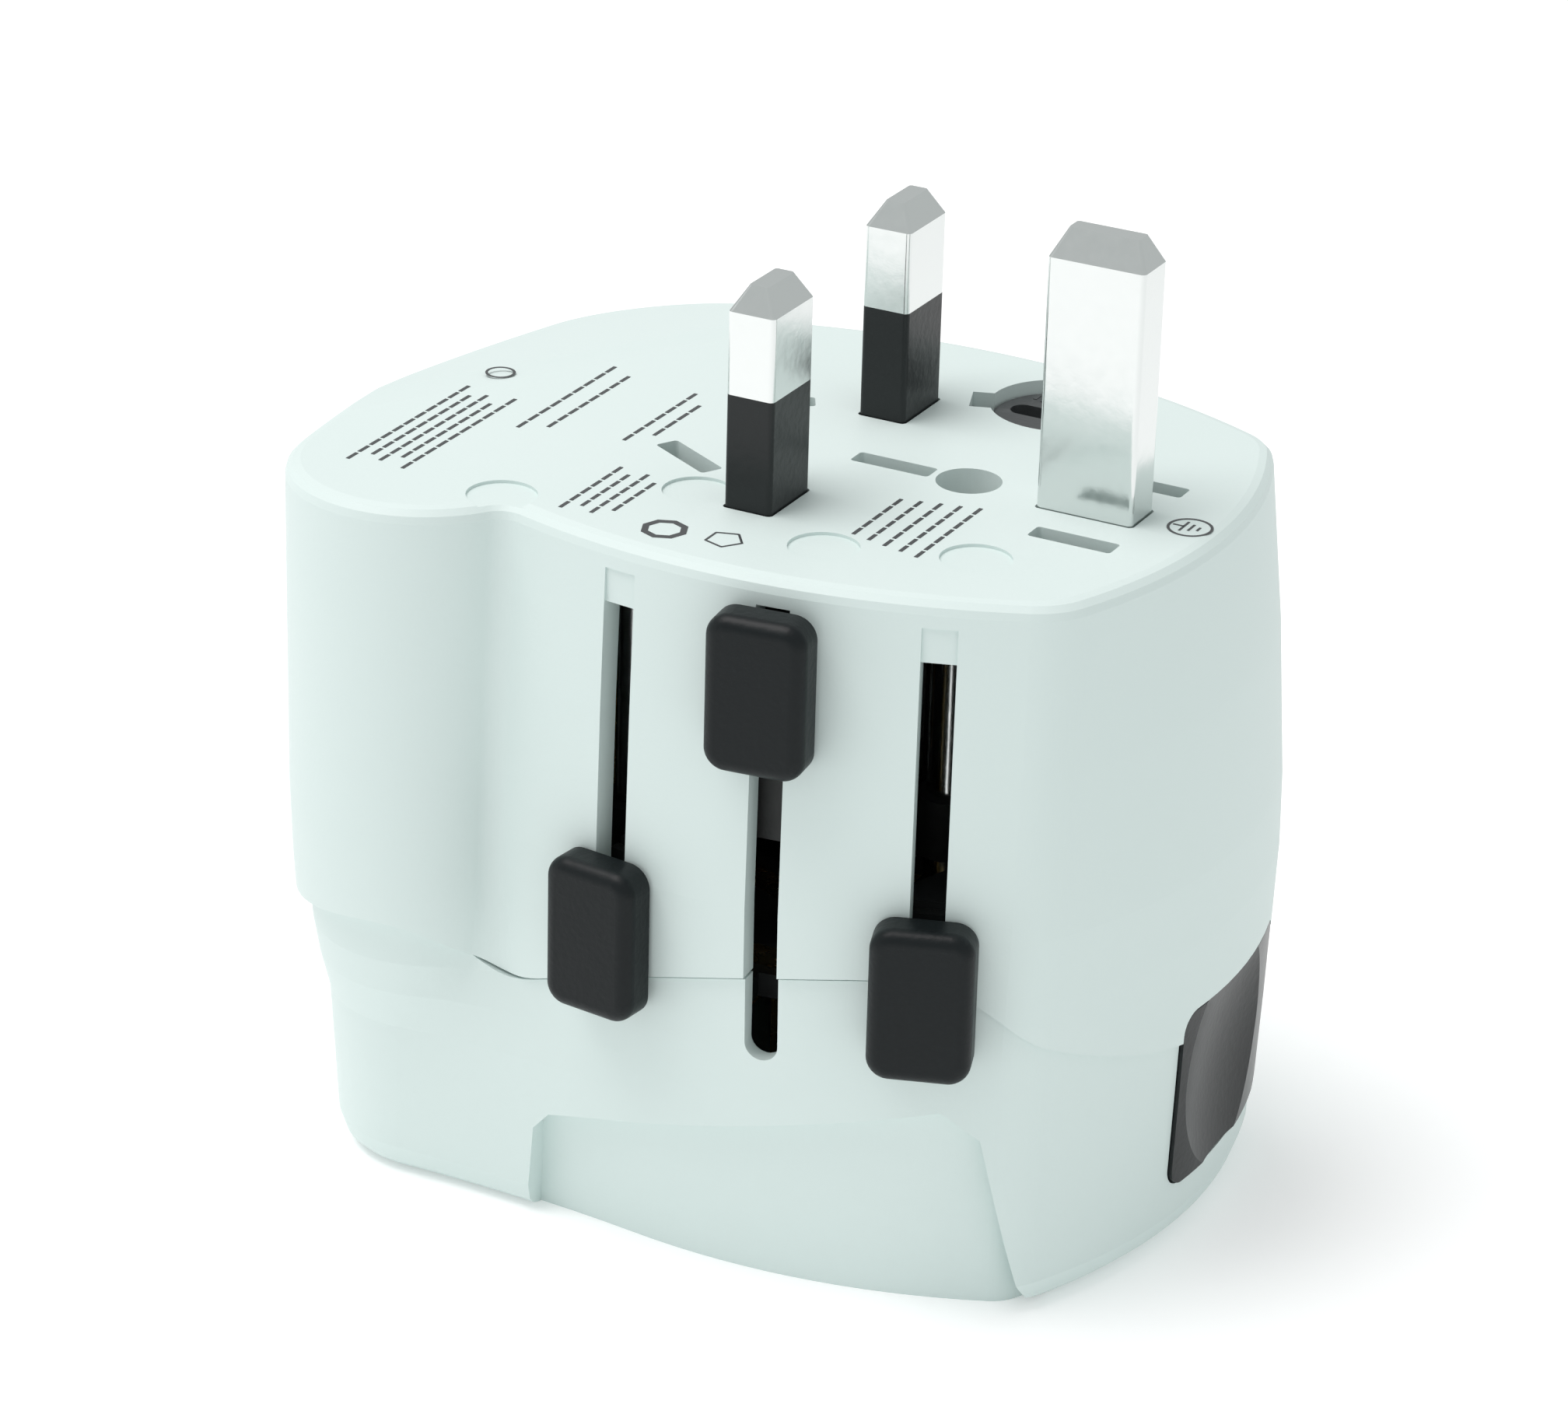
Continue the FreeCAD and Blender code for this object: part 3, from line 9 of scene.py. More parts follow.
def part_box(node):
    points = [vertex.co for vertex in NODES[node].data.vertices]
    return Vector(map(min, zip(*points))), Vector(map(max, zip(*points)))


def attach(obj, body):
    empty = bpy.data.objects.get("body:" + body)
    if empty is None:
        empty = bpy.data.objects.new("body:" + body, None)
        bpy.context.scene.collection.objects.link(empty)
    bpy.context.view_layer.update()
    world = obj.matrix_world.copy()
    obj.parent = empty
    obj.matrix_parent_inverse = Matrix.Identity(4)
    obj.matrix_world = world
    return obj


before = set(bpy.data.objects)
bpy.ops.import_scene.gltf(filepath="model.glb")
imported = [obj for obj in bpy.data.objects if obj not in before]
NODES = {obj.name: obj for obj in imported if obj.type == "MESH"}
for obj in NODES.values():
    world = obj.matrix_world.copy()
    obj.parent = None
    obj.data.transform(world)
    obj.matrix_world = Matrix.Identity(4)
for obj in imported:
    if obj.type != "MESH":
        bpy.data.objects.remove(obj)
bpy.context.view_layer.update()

bl_info = {
    "name": "Travel adapter finish",
    "version": (1, 0, 0),
    "blender": (4, 5, 0),
    "location": "3D View > Sidebar > Adapter",
    "description": "Finishes, printed marks and stage for a universal travel adapter",
    "category": "Object",
}

MM = 0.001

# Ends the name of every finish, so that none is taken for a plain material of the CAD frame.
LOOK = "_look"

# Plug face layout in metres: the middle between the two live pins, and the height of the face.
PIN_BOX = (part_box("uk_line_pin"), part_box("uk_neutral_pin"))
FACE_X = (PIN_BOX[0][0][0] + PIN_BOX[0][1][0]) / 2
FACE_Y = (PIN_BOX[0][0][1] + PIN_BOX[1][1][1]) / 2
FACE_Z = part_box("upper_housing")[1][2]
CAP_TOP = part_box("fuse_cap")[1][2]
CAP_FROM_PINS = (10.8 * MM, 18.0 * MM)
CAP_X = FACE_X + CAP_FROM_PINS[0]
CAP_Y = FACE_Y + CAP_FROM_PINS[1]

# Camera: direction, distance and framing, about the middle between the two live pins.
CAMERA_TURN = 27.4272
CAMERA_RISE = 24.6492
CAMERA_ROLL = 1.5655
CAMERA_AWAY = 420.0 * MM
CAMERA_SLIDE = (-3.898 * MM, -20.095 * MM)
CAMERA_LENS = 124.467
CAMERA_SENSOR = 36.0


# Small print: (x, y, line pitch, lines as (length, dashes)) in millimetres on the plug face.
PRINT_BLOCKS = (
    (-12.4, -16.2, 1.25, ((9.4, 6), (7.2, 5), (8.8, 6), (6.4, 4))),
    (8.9, -10.0, 1.5, ((8.0, 5), (8.8, 6), (9.6, 6), (10.2, 7), (11.0, 7))),
    (-15.0, -0.8, 1.5, ((11.6, 7), (7.4, 4))),
    (-23.4, -0.9, 2.0, ((15.4, 9), (12.8, 8))),
    (-31.2, -12.0, 1.15, ((18.0, 11), (14.5, 9), (16.0, 10), (13.2, 8), (17.0, 10))),
)

# ---------------------------------------------------------------- sizes and colours

class ShellSettings(bpy.types.PropertyGroup):
    """Colours and grain of the moulded housing."""

    white: FloatVectorProperty(name="White", description="Colour of the housing", subtype="COLOR",
                               size=4, min=0.0, max=1.0, default=(0.66, 0.765, 0.745, 1.0))
    grain_size: FloatProperty(name="Grain size", description="Spacing of the moulded grain",
                              default=0.00035, min=0.00005, max=0.005, unit="LENGTH")
    grain_depth: FloatProperty(name="Grain depth", description="Depth of the moulded grain",
                               default=0.000012, min=0.0, max=0.0005, unit="LENGTH")


class SliderSettings(bpy.types.PropertyGroup):
    """Colour of the black sliders, button and sleeves."""

    black: FloatVectorProperty(name="Black", description="Colour of the sliders and button",
                               subtype="COLOR", size=4, min=0.0, max=1.0,
                               default=(0.006, 0.009, 0.010, 1.0))
    strip: FloatVectorProperty(name="Strip", description="Colour of the strips behind the slots",
                               subtype="COLOR", size=4, min=0.0, max=1.0,
                               default=(0.010, 0.012, 0.012, 1.0))


class PinSettings(bpy.types.PropertyGroup):
    """Plating of the pins and blades."""

    nickel: FloatVectorProperty(name="Nickel", description="Colour of the plating", subtype="COLOR",
                                size=4, min=0.0, max=1.0, default=(0.74, 0.77, 0.76, 1.0))
    brass: FloatVectorProperty(name="Brass", description="Colour of the contact strips",
                               subtype="COLOR", size=4, min=0.0, max=1.0,
                               default=(0.66, 0.47, 0.20, 1.0))


class PrintSettings(bpy.types.PropertyGroup):
    """Printed marks on the plug face."""

    ink: FloatVectorProperty(name="Ink", description="Colour of the printed marks", subtype="COLOR",
                             size=4, min=0.0, max=1.0, default=(0.035, 0.042, 0.045, 1.0))
    lift: FloatProperty(name="Lift", description="Height of the ink above the face",
                        default=0.00003, min=0.00001, max=0.0003, unit="LENGTH")
    stroke: FloatProperty(name="Stroke", description="Width of a printed line",
                          default=0.00032, min=0.0001, max=0.002, unit="LENGTH")
    steps: IntProperty(name="Steps", description="Steps round a printed ring", default=72, min=12,
                       max=256)


class StageSettings(bpy.types.PropertyGroup):
    """Floor, light and camera."""

    floor: FloatVectorProperty(name="Floor", description="Colour of the floor", subtype="COLOR",
                               size=4, min=0.0, max=1.0, default=(0.93, 0.94, 0.94, 1.0))
    glow: FloatProperty(name="Floor glow", description="Light given off by the floor itself",
                        default=0.2, min=0.0, max=2.0)
    key: FloatProperty(name="Key light", description="Power of the overhead light", default=5.6,
                       min=0.0, max=200.0, unit="POWER")
    fill: FloatProperty(name="Fill light", description="Power of the side lights", default=0.35,
                        min=0.0, max=200.0, unit="POWER")
    air: FloatProperty(name="Surroundings", description="Brightness of the surroundings",
                       default=0.60, min=0.0, max=5.0)


# ---------------------------------------------------------------- shared effects

def group_sockets(group, ins, outs):
    """Adds the named inputs and outputs of a shader node group."""
    for name, kind, value in ins:
        socket = group.interface.new_socket(name=name, in_out="INPUT", socket_type=kind)
        if value is not None:
            socket.default_value = value
    for name, kind in outs:
        group.interface.new_socket(name=name, in_out="OUTPUT", socket_type=kind)


def moulded_grain_group():
    """Fine moulded grain: two sizes of noise give a height and a slow tone drift."""
    name = "moulded_grain"
    if name in bpy.data.node_groups:
        return bpy.data.node_groups[name]
    group = bpy.data.node_groups.new(name, "ShaderNodeTree")
    group_sockets(group, [("Vector", "NodeSocketVector", None), ("Spacing", "NodeSocketFloat", 0.0004),
                          ("Drift", "NodeSocketFloat", 0.03)],
                  [("Height", "NodeSocketFloat"), ("Tone", "NodeSocketFloat"),
                   ("Gloss", "NodeSocketFloat")])
    nodes, links = group.nodes, group.links
    gin = nodes.new("NodeGroupInput")
    gout = nodes.new("NodeGroupOutput")
    scale = nodes.new("ShaderNodeMath")
    scale.operation = "DIVIDE"
    scale.inputs[0].default_value = 1.0
    links.new(gin.outputs["Spacing"], scale.inputs[1])
    fine = nodes.new("ShaderNodeTexNoise")
    fine.inputs["Detail"].default_value = 3.0
    links.new(gin.outputs["Vector"], fine.inputs["Vector"])
    links.new(scale.outputs[0], fine.inputs["Scale"])
    slow = nodes.new("ShaderNodeTexNoise")
    slow.inputs["Scale"].default_value = 45.0
    slow.inputs["Detail"].default_value = 2.0
    links.new(gin.outputs["Vector"], slow.inputs["Vector"])
    tone = nodes.new("ShaderNodeMapRange")
    tone.inputs["To Min"].default_value = 0.0
    links.new(slow.outputs["Fac"], tone.inputs["Value"])
    links.new(gin.outputs["Drift"], tone.inputs["To Max"])
    links.new(fine.outputs["Fac"], gout.inputs["Height"])
    links.new(tone.outputs["Result"], gout.inputs["Tone"])
    links.new(slow.outputs["Fac"], gout.inputs["Gloss"])
    return group


def painted_rim_highlight_group():
    """Painted highlight: rims where the surface turns sharply take the rim colour, from the pointiness of
    the mesh.
    """
    name = "worn_edge"
    if name in bpy.data.node_groups:
        return bpy.data.node_groups[name]
    group = bpy.data.node_groups.new(name, "ShaderNodeTree")
    group_sockets(group, [("Color", "NodeSocketColor", (0.5, 0.5, 0.5, 1.0)),
                          ("Edge Color", "NodeSocketColor", (0.8, 0.8, 0.8, 1.0)),
                          ("Amount", "NodeSocketFloat", 0.3)],
                  [("Color", "NodeSocketColor")])
    nodes, links = group.nodes, group.links
    gin = nodes.new("NodeGroupInput")
    gout = nodes.new("NodeGroupOutput")
    geometry = nodes.new("ShaderNodeNewGeometry")
    ramp = nodes.new("ShaderNodeMapRange")
    ramp.inputs["From Min"].default_value = 0.52
    ramp.inputs["From Max"].default_value = 0.60
    links.new(geometry.outputs["Pointiness"], ramp.inputs["Value"])
    amount = nodes.new("ShaderNodeMath")
    amount.operation = "MULTIPLY"
    links.new(ramp.outputs["Result"], amount.inputs[0])
    links.new(gin.outputs["Amount"], amount.inputs[1])
    mix = nodes.new("ShaderNodeMix")
    mix.data_type = "RGBA"
    links.new(amount.outputs[0], mix.inputs["Factor"])
    links.new(gin.outputs["Color"], mix.inputs["A"])
    links.new(gin.outputs["Edge Color"], mix.inputs["B"])
    links.new(mix.outputs["Result"], gout.inputs["Color"])
    return group


def new_material(name):
    """An empty node material with its Principled shader; returns (material, nodes, links, shader)."""
    material = bpy.data.materials.new(name)
    material.use_nodes = True
    nodes, links = material.node_tree.nodes, material.node_tree.links
    return material, nodes, links, nodes["Principled BSDF"]


def moulded(name, colour, edge, rough, spacing, depth, drift=0.04, highlight_amount=0.25, shine=0.5, rough_span=0.08):
    """Moulded plastic: grain in the bump, a slow drift in colour and gloss, and a painted highlight on
    sharp rims in the edge colour.
    """
    made = name + LOOK
    if made in bpy.data.materials:
        return bpy.data.materials[made]
    material, nodes, links, shader = new_material(made)
    place = nodes.new("ShaderNodeTexCoord")
    grain = nodes.new("ShaderNodeGroup")
    grain.node_tree = moulded_grain_group()
    grain.inputs["Spacing"].default_value = spacing
    grain.inputs["Drift"].default_value = drift
    links.new(place.outputs["Object"], grain.inputs["Vector"])
    tint = nodes.new("ShaderNodeMix")
    tint.data_type = "RGBA"
    tint.inputs["A"].default_value = colour
    tint.inputs["B"].default_value = tuple(c * 0.9 for c in colour[:3]) + (1.0,)
    links.new(grain.outputs["Tone"], tint.inputs["Factor"])
    # Painted highlight: sharp convex rims are mixed towards the lighter edge colour.
    rim = nodes.new("ShaderNodeGroup")
    rim.node_tree = painted_rim_highlight_group()
    rim.inputs["Edge Color"].default_value = edge
    rim.inputs["Amount"].default_value = highlight_amount
    links.new(tint.outputs["Result"], rim.inputs["Color"])
    links.new(rim.outputs["Color"], shader.inputs["Base Color"])
    gloss = nodes.new("ShaderNodeMapRange")
    gloss.inputs["To Min"].default_value = rough - rough_span / 2
    gloss.inputs["To Max"].default_value = rough + rough_span / 2
    links.new(grain.outputs["Gloss"], gloss.inputs["Value"])
    links.new(gloss.outputs["Result"], shader.inputs["Roughness"])
    bump = nodes.new("ShaderNodeBump")
    bump.inputs["Strength"].default_value = 1.0
    bump.inputs["Distance"].default_value = depth
    links.new(grain.outputs["Height"], bump.inputs["Height"])
    links.new(bump.outputs["Normal"], shader.inputs["Normal"])
    shader.inputs["Specular IOR Level"].default_value = shine
    return material


def plated(name, colour, rough, spacing, depth, rough_span=0.1, metallic=1.0):
    """Plated or bare metal with a faint hammered waviness and uneven polish."""
    made = name + LOOK
    if made in bpy.data.materials:
        return bpy.data.materials[made]
    material, nodes, links, shader = new_material(made)
    place = nodes.new("ShaderNodeTexCoord")
    grain = nodes.new("ShaderNodeGroup")
    grain.node_tree = moulded_grain_group()
    grain.inputs["Spacing"].default_value = spacing
    grain.inputs["Drift"].default_value = 0.25
    links.new(place.outputs["Object"], grain.inputs["Vector"])
    tint = nodes.new("ShaderNodeMix")
    tint.data_type = "RGBA"
    tint.inputs["A"].default_value = colour
    tint.inputs["B"].default_value = tuple(c * 0.82 for c in colour[:3]) + (1.0,)
    links.new(grain.outputs["Tone"], tint.inputs["Factor"])
    links.new(tint.outputs["Result"], shader.inputs["Base Color"])
    gloss = nodes.new("ShaderNodeMapRange")
    gloss.inputs["To Min"].default_value = rough
    gloss.inputs["To Max"].default_value = rough + rough_span
    links.new(grain.outputs["Height"], gloss.inputs["Value"])
    links.new(gloss.outputs["Result"], shader.inputs["Roughness"])
    bump = nodes.new("ShaderNodeBump")
    bump.inputs["Strength"].default_value = 1.0
    bump.inputs["Distance"].default_value = depth
    links.new(grain.outputs["Height"], bump.inputs["Height"])
    links.new(bump.outputs["Normal"], shader.inputs["Normal"])
    shader.inputs["Metallic"].default_value = metallic
    return material


def banded(name, body, band, low, high, rough):
    """A tube with plated bands at both ends, split by height."""
    material, nodes, links, shader = new_material(name + LOOK)
    place = nodes.new("ShaderNodeTexCoord")
    split = nodes.new("ShaderNodeSeparateXYZ")
    links.new(place.outputs["Object"], split.inputs["Vector"])
    above = nodes.new("ShaderNodeMath")
    above.operation = "GREATER_THAN"
    above.inputs[1].default_value = high
    below = nodes.new("ShaderNodeMath")
    below.operation = "LESS_THAN"
    below.inputs[1].default_value = low
    either = nodes.new("ShaderNodeMath")
    either.operation = "MAXIMUM"
    for one in (above, below):
        links.new(split.outputs["Z"], one.inputs[0])
    links.new(above.outputs[0], either.inputs[0])
    links.new(below.outputs[0], either.inputs[1])
    tint = nodes.new("ShaderNodeMix")
    tint.data_type = "RGBA"
    tint.inputs["A"].default_value = body
    tint.inputs["B"].default_value = band
    links.new(either.outputs[0], tint.inputs["Factor"])
    links.new(tint.outputs["Result"], shader.inputs["Base Color"])
    links.new(either.outputs[0], shader.inputs["Metallic"])
    shader.inputs["Roughness"].default_value = rough
    return material


def finish(names, material):
    """Gives CAD nodes a finish in all their slots."""
    for name in names:
        node = NODES[name]
        if not node.material_slots:
            node.data.materials.append(material)
        for slot in node.material_slots:
            slot.material = material


# ---------------------------------------------------------------- pieces worked out with numpy

def closed_grid(points):
    """Faces through a grid of points (rows u, columns v) that closes round both ways."""
    rows, cols = points.shape[:2]
    u, v = np.meshgrid(np.arange(rows), np.arange(cols), indexing="ij")
    un = (u + 1) % rows
    vn = (v + 1) % cols
    faces = np.stack([u * cols + v, un * cols + v, un * cols + vn, u * cols + vn], -1).reshape(-1, 4)
    return points.reshape(-1, 3), faces


def build_piece(name, parts, material, body):
    """One object from several (points, faces) parts, riding on a body."""
    offset = 0
    all_points = []
    all_faces = []
    for points, faces in parts:
        all_points.append(points)
        all_faces.append(faces + offset)
        offset += len(points)
    mesh = bpy.data.meshes.new(name)
    mesh.from_pydata(np.vstack(all_points).tolist(), [], np.vstack(all_faces).tolist())
    mesh.update()
    piece = bpy.data.objects.new(name, mesh)
    bpy.context.scene.collection.objects.link(piece)
    mesh.materials.append(material)
    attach(piece, body)
    return piece


def slab(x, y, long, wide, turn, low, high):
    """A thin flat plate: corner signs times half sizes, turned about its middle; a closed box."""
    sx = np.array([-1, 1, 1, -1, -1, 1, 1, -1]) * long / 2
    sy = np.array([-1, -1, 1, 1, -1, -1, 1, 1]) * wide / 2
    z = np.array([low] * 4 + [high] * 4)
    c, s = math.cos(turn), math.sin(turn)
    points = np.stack([x + c * sx - s * sy, y + s * sx + c * sy, z], -1)
    faces = np.array([[0, 3, 2, 1], [4, 5, 6, 7], [0, 1, 5, 4], [1, 2, 6, 5], [2, 3, 7, 6],
                      [3, 0, 4, 7]])
    return points, faces


def flat_ring(x, y, radius, stroke, low, high, steps, sides=0):
    """A thin ring: its rectangular section carried round a circle, or round a polygon with flats."""
    turn = np.linspace(0.0, 2 * math.pi, steps, endpoint=False)
    reach = np.ones(steps)
    if sides:
        step = 2 * math.pi / sides
        reach = math.cos(step / 2) / np.cos((turn % step) - step / 2)
    r = np.stack([radius * reach, (radius + stroke) * reach, (radius + stroke) * reach,
                  radius * reach], -1)
    z = np.broadcast_to(np.array([low, low, high, high]), r.shape)
    points = np.stack([x + r * np.cos(turn)[:, None], y + r * np.sin(turn)[:, None], z], -1)
    return closed_grid(points)


def ink_line(x, y, long, stroke, turn, settings, dashes=1):
    """A row of short plates along a line, standing for a line of small print."""
    parts = []
    gap = stroke * 0.9
    size = (long - gap * (dashes - 1)) / dashes
    start = -long / 2 + size / 2
    for k in range(dashes):
        along = start + k * (size + gap)
        parts.append(slab(x + math.cos(turn) * along, y + math.sin(turn) * along, size, stroke, turn,
                          FACE_Z, FACE_Z + settings.lift))
    return parts


# ---------------------------------------------------------------- operators

class ADAPTER_OT_shell(bpy.types.Operator):
    """Finish the white housing, the socket plate and the black frame behind them."""

    bl_idname = "adapter.shell"
    bl_label = "Finish the housing"

    def execute(self, context):
        settings = context.scene.adapter_shell
        white = tuple(settings.white)
        shell = moulded("shell_white", white, (0.86, 0.89, 0.88, 1.0), 0.5, settings.grain_size,
                        settings.grain_depth, drift=0.12, highlight_amount=0.04)
        finish(["upper_housing", "lower_housing"], shell)
        plate = moulded("socket_white", tuple(c * 0.96 for c in white[:3]) + (1.0,),
                        (0.84, 0.86, 0.85, 1.0), 0.42, settings.grain_size * 0.8, settings.grain_depth)
        finish(["socket_face"], plate)
        dark = moulded("frame_black", (0.010, 0.012, 0.013, 1.0), (0.02, 0.022, 0.022, 1.0), 0.6,
                       settings.grain_size, settings.grain_depth)
        finish(["chassis", "uk_carriage", "au_carriage", "us_carriage", "fuse_holder"], dark)
        return {"FINISHED"}


class ADAPTER_OT_sliders(bpy.types.Operator):
    """Finish the black sliders, the release button and the strips behind the slots."""

    bl_idname = "adapter.sliders"
    bl_label = "Finish the sliders and button"

    def execute(self, context):
        settings = context.scene.adapter_sliders
        black = moulded("slider_black", tuple(settings.black), (0.05, 0.06, 0.06, 1.0), 0.42,
                        0.0005, 0.00003, drift=0.3, highlight_amount=0.08, shine=0.2)
        finish(["uk_slider_knob", "au_slider_knob", "us_slider_knob"], black)
        button = moulded("button_black", tuple(c * 0.8 for c in settings.black[:3]) + (1.0,),
                         (0.05, 0.06, 0.06, 1.0), 0.3, 0.0006, 0.00002, drift=0.3, highlight_amount=0.08, shine=0.3)
        finish(["release_button"], button)
        strip = moulded("strip_black", tuple(settings.strip), (0.03, 0.03, 0.03, 1.0), 0.5, 0.0005,
                        0.00002)
        finish(["uk_shield_strip", "au_shield_strip", "us_shield_strip"], strip)
        return {"FINISHED"}


class ADAPTER_OT_pins(bpy.types.Operator):
    """Finish the plated pins and blades, their sleeves and the brass contacts."""

    bl_idname = "adapter.pins"
    bl_label = "Finish the pins and contacts"

    def execute(self, context):
        settings = context.scene.adapter_pins
        nickel = plated("pin_nickel", tuple(settings.nickel), 0.1, 0.0009, 0.00001, rough_span=0.14)
        finish(["uk_line_pin", "uk_neutral_pin", "uk_earth_pin", "au_line_blade", "au_neutral_blade",
                "au_earth_blade", "us_line_blade", "us_neutral_blade", "us_earth_pin"], nickel)
        sleeve = moulded("sleeve_black", (0.010, 0.012, 0.013, 1.0), (0.03, 0.035, 0.035, 1.0), 0.3,
                         0.0007, 0.00003, drift=0.4, highlight_amount=0.3, shine=0.25)
        finish(["uk_line_sleeve", "uk_neutral_sleeve"], sleeve)
        brass = plated("contact_brass", tuple(settings.brass), 0.22, 0.0008, 0.00002)
        finish(["line_contact", "neutral_contact", "earth_contact", "line_bus_bar", "neutral_bus_bar",
                "earth_bus_bar", "uk_brushes", "au_brushes", "us_brushes"], brass)
        steel = plated("steel", (0.56, 0.57, 0.58, 1.0), 0.2, 0.0006, 0.00001)
        finish(["guide_rods", "housing_screws", "fuse_spring", "button_spring", "latch_blade",
                "usb_port_front", "usb_port_rear"], steel)
        return {"FINISHED"}


class ADAPTER_OT_fuse(bpy.types.Operator):
    """Finish the fuse and its cap, with the small raised marks on the cap."""

    bl_idname = "adapter.fuse"
    bl_label = "Finish the fuse and cap"

    def execute(self, context):
        cap = moulded("cap_grey", (0.045, 0.05, 0.052, 1.0), (0.10, 0.11, 0.11, 1.0), 0.4, 0.0005,
                      0.00002, drift=0.2, highlight_amount=0.4)
        finish(["fuse_cap"], cap)
        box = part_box("fuse")
        tube = banded("fuse_body", (0.62, 0.62, 0.58, 1.0), (0.70, 0.71, 0.70, 1.0),
                      box[0][2] + 5.0 * MM, box[1][2] - 5.0 * MM, 0.25)
        finish(["fuse"], tube)
        parts = []
        for k, long in enumerate((0.9, 1.3, 0.9)):
            parts.append(slab(CAP_X + (k - 1) * 0.75 * MM - 2.6 * MM, CAP_Y + 2.9 * MM, 0.3 * MM,
                              long * MM, 0.0, CAP_TOP, CAP_TOP + 0.06 * MM))
        parts.append(slab(CAP_X + 3.2 * MM, CAP_Y - 2.4 * MM, 0.8 * MM, 0.8 * MM, 0.4, CAP_TOP,
                          CAP_TOP + 0.06 * MM))
        build_piece("fuse_cap_marks", parts, cap, "fuse_cap_body")
        return {"FINISHED"}


class ADAPTER_OT_charger(bpy.types.Operator):
    """Finish the charger board and what stands on it."""

    bl_idname = "adapter.charger"
    bl_label = "Finish the charger"

    def execute(self, context):
        finish(["usb_board"], moulded("board_green", (0.02, 0.11, 0.05, 1.0), (0.2, 0.3, 0.15, 1.0),
                                      0.3, 0.0009, 0.00002))
        finish(["usb_tongues"], moulded("tongue_black", (0.012, 0.012, 0.013, 1.0),
                                        (0.05, 0.05, 0.05, 1.0), 0.4, 0.0006, 0.00001))
        finish(["usb_transformer"], moulded("transformer_yellow", (0.55, 0.38, 0.05, 1.0),
                                            (0.65, 0.5, 0.1, 1.0), 0.35, 0.0012, 0.00005))
        finish(["usb_capacitors"], moulded("capacitor_dark", (0.02, 0.025, 0.06, 1.0),
                                           (0.3, 0.3, 0.32, 1.0), 0.3, 0.0012, 0.00002))
        return {"FINISHED"}


class ADAPTER_OT_print(bpy.types.Operator):
    """Lay plain printed marks on the plug face: bars for small print, an earth sign and two frames."""

    bl_idname = "adapter.print"
    bl_label = "Print the face"

    def execute(self, context):
        settings = context.scene.adapter_print
        ink = moulded("print_ink", tuple(settings.ink), (0.1, 0.1, 0.1, 1.0), 0.45, 0.0004, 0.000004)
        stroke = settings.stroke
        parts = []
        ring_x = FACE_X + 30.0 * MM
        ring_y = FACE_Y + 0.4 * MM
        top = FACE_Z + settings.lift
        parts.append(flat_ring(ring_x, ring_y, 1.55 * MM, stroke * 0.7, FACE_Z, top, settings.steps))
        for along, long in ((-0.5, 1.9), (0.1, 1.3), (0.7, 0.7)):
            parts.append(slab(ring_x + along * MM, ring_y, stroke * 0.6, long * MM, 0.0, FACE_Z, top))
        parts.append(slab(ring_x - 0.95 * MM, ring_y, 0.9 * MM, stroke * 0.6, 0.0, FACE_Z, top))
        parts.append(flat_ring(FACE_X - 3.6 * MM, FACE_Y - 20.5 * MM, 1.3 * MM, 0.55 * MM, FACE_Z, top,
                               settings.steps, sides=8))
        parts.append(flat_ring(FACE_X + 1.2 * MM, FACE_Y - 19.9 * MM, 1.35 * MM, stroke * 0.7, FACE_Z,
                               top, settings.steps, sides=5))
        parts.append(flat_ring(FACE_X - 30.6 * MM, FACE_Y + 0.9 * MM, 1.0 * MM, stroke * 0.7, FACE_Z,
                               top, settings.steps))
        for x, y, pitch, rows in PRINT_BLOCKS:
            for k, (long, dashes) in enumerate(rows):
                parts += ink_line(FACE_X + (x + pitch * k) * MM, FACE_Y + y * MM, long * MM, stroke,
                                  math.pi / 2, settings, dashes)
        build_piece("face_print", parts, ink, "body")
        return {"FINISHED"}


class ADAPTER_OT_stage(bpy.types.Operator):
    """Set the floor, the soft lights and the camera."""

    bl_idname = "adapter.stage"
    bl_label = "Set the stage"

    def execute(self, context):
        settings = context.scene.adapter_stage
        scene = context.scene
        floor_material, _nodes, _links, shader = new_material("floor_pale")
        shader.inputs["Base Color"].default_value = tuple(settings.floor)
        shader.inputs["Roughness"].default_value = 0.9
        shader.inputs["Emission Color"].default_value = (1.0, 1.0, 1.0, 1.0)
        shader.inputs["Emission Strength"].default_value = settings.glow
        half = 3.0
        points = np.array([[-half, -half, 0], [half, -half, 0], [half, half, 0], [-half, half, 0]])
        mesh = bpy.data.meshes.new("floor")
        mesh.from_pydata(points.tolist(), [], [[0, 1, 2, 3]])
        mesh.materials.append(floor_material)
        floor = bpy.data.objects.new("floor", mesh)
        scene.collection.objects.link(floor)

        world = bpy.data.worlds.new("surroundings")
        world.use_nodes = True
        back = world.node_tree.nodes["Background"]
        back.inputs["Color"].default_value = (0.97, 1.0, 1.0, 1.0)
        back.inputs["Strength"].default_value = settings.air
        scene.world = world

        add_light("key_light", (-0.25, -0.15, 0.85), (0.0, 0.0, 0.03), 0.6, settings.key,
                  (1.0, 0.94, 0.94))
        add_light("left_fill", (-0.9, -0.55, 0.35), (0.0, 0.0, 0.03), 0.6, settings.fill)
        add_light("right_fill", (0.95, -0.35, 0.4), (0.0, 0.0, 0.03), 0.5, settings.fill * 0.35)
        scene.camera = add_camera()
        scene.view_settings.view_transform = "Standard"
        return {"FINISHED"}


def add_light(name, place, aim, size, power, colour=(1.0, 1.0, 1.0)):
    """A square area light at a place, turned to face a point."""
    data = bpy.data.lights.new(name, "AREA")
    data.size = size
    data.energy = power
    data.color = colour
    lamp = bpy.data.objects.new(name, data)
    way = np.array(aim) - np.array(place)
    lamp.location = place
    lamp.rotation_euler = direction_turn(way)
    bpy.context.scene.collection.objects.link(lamp)
    return lamp


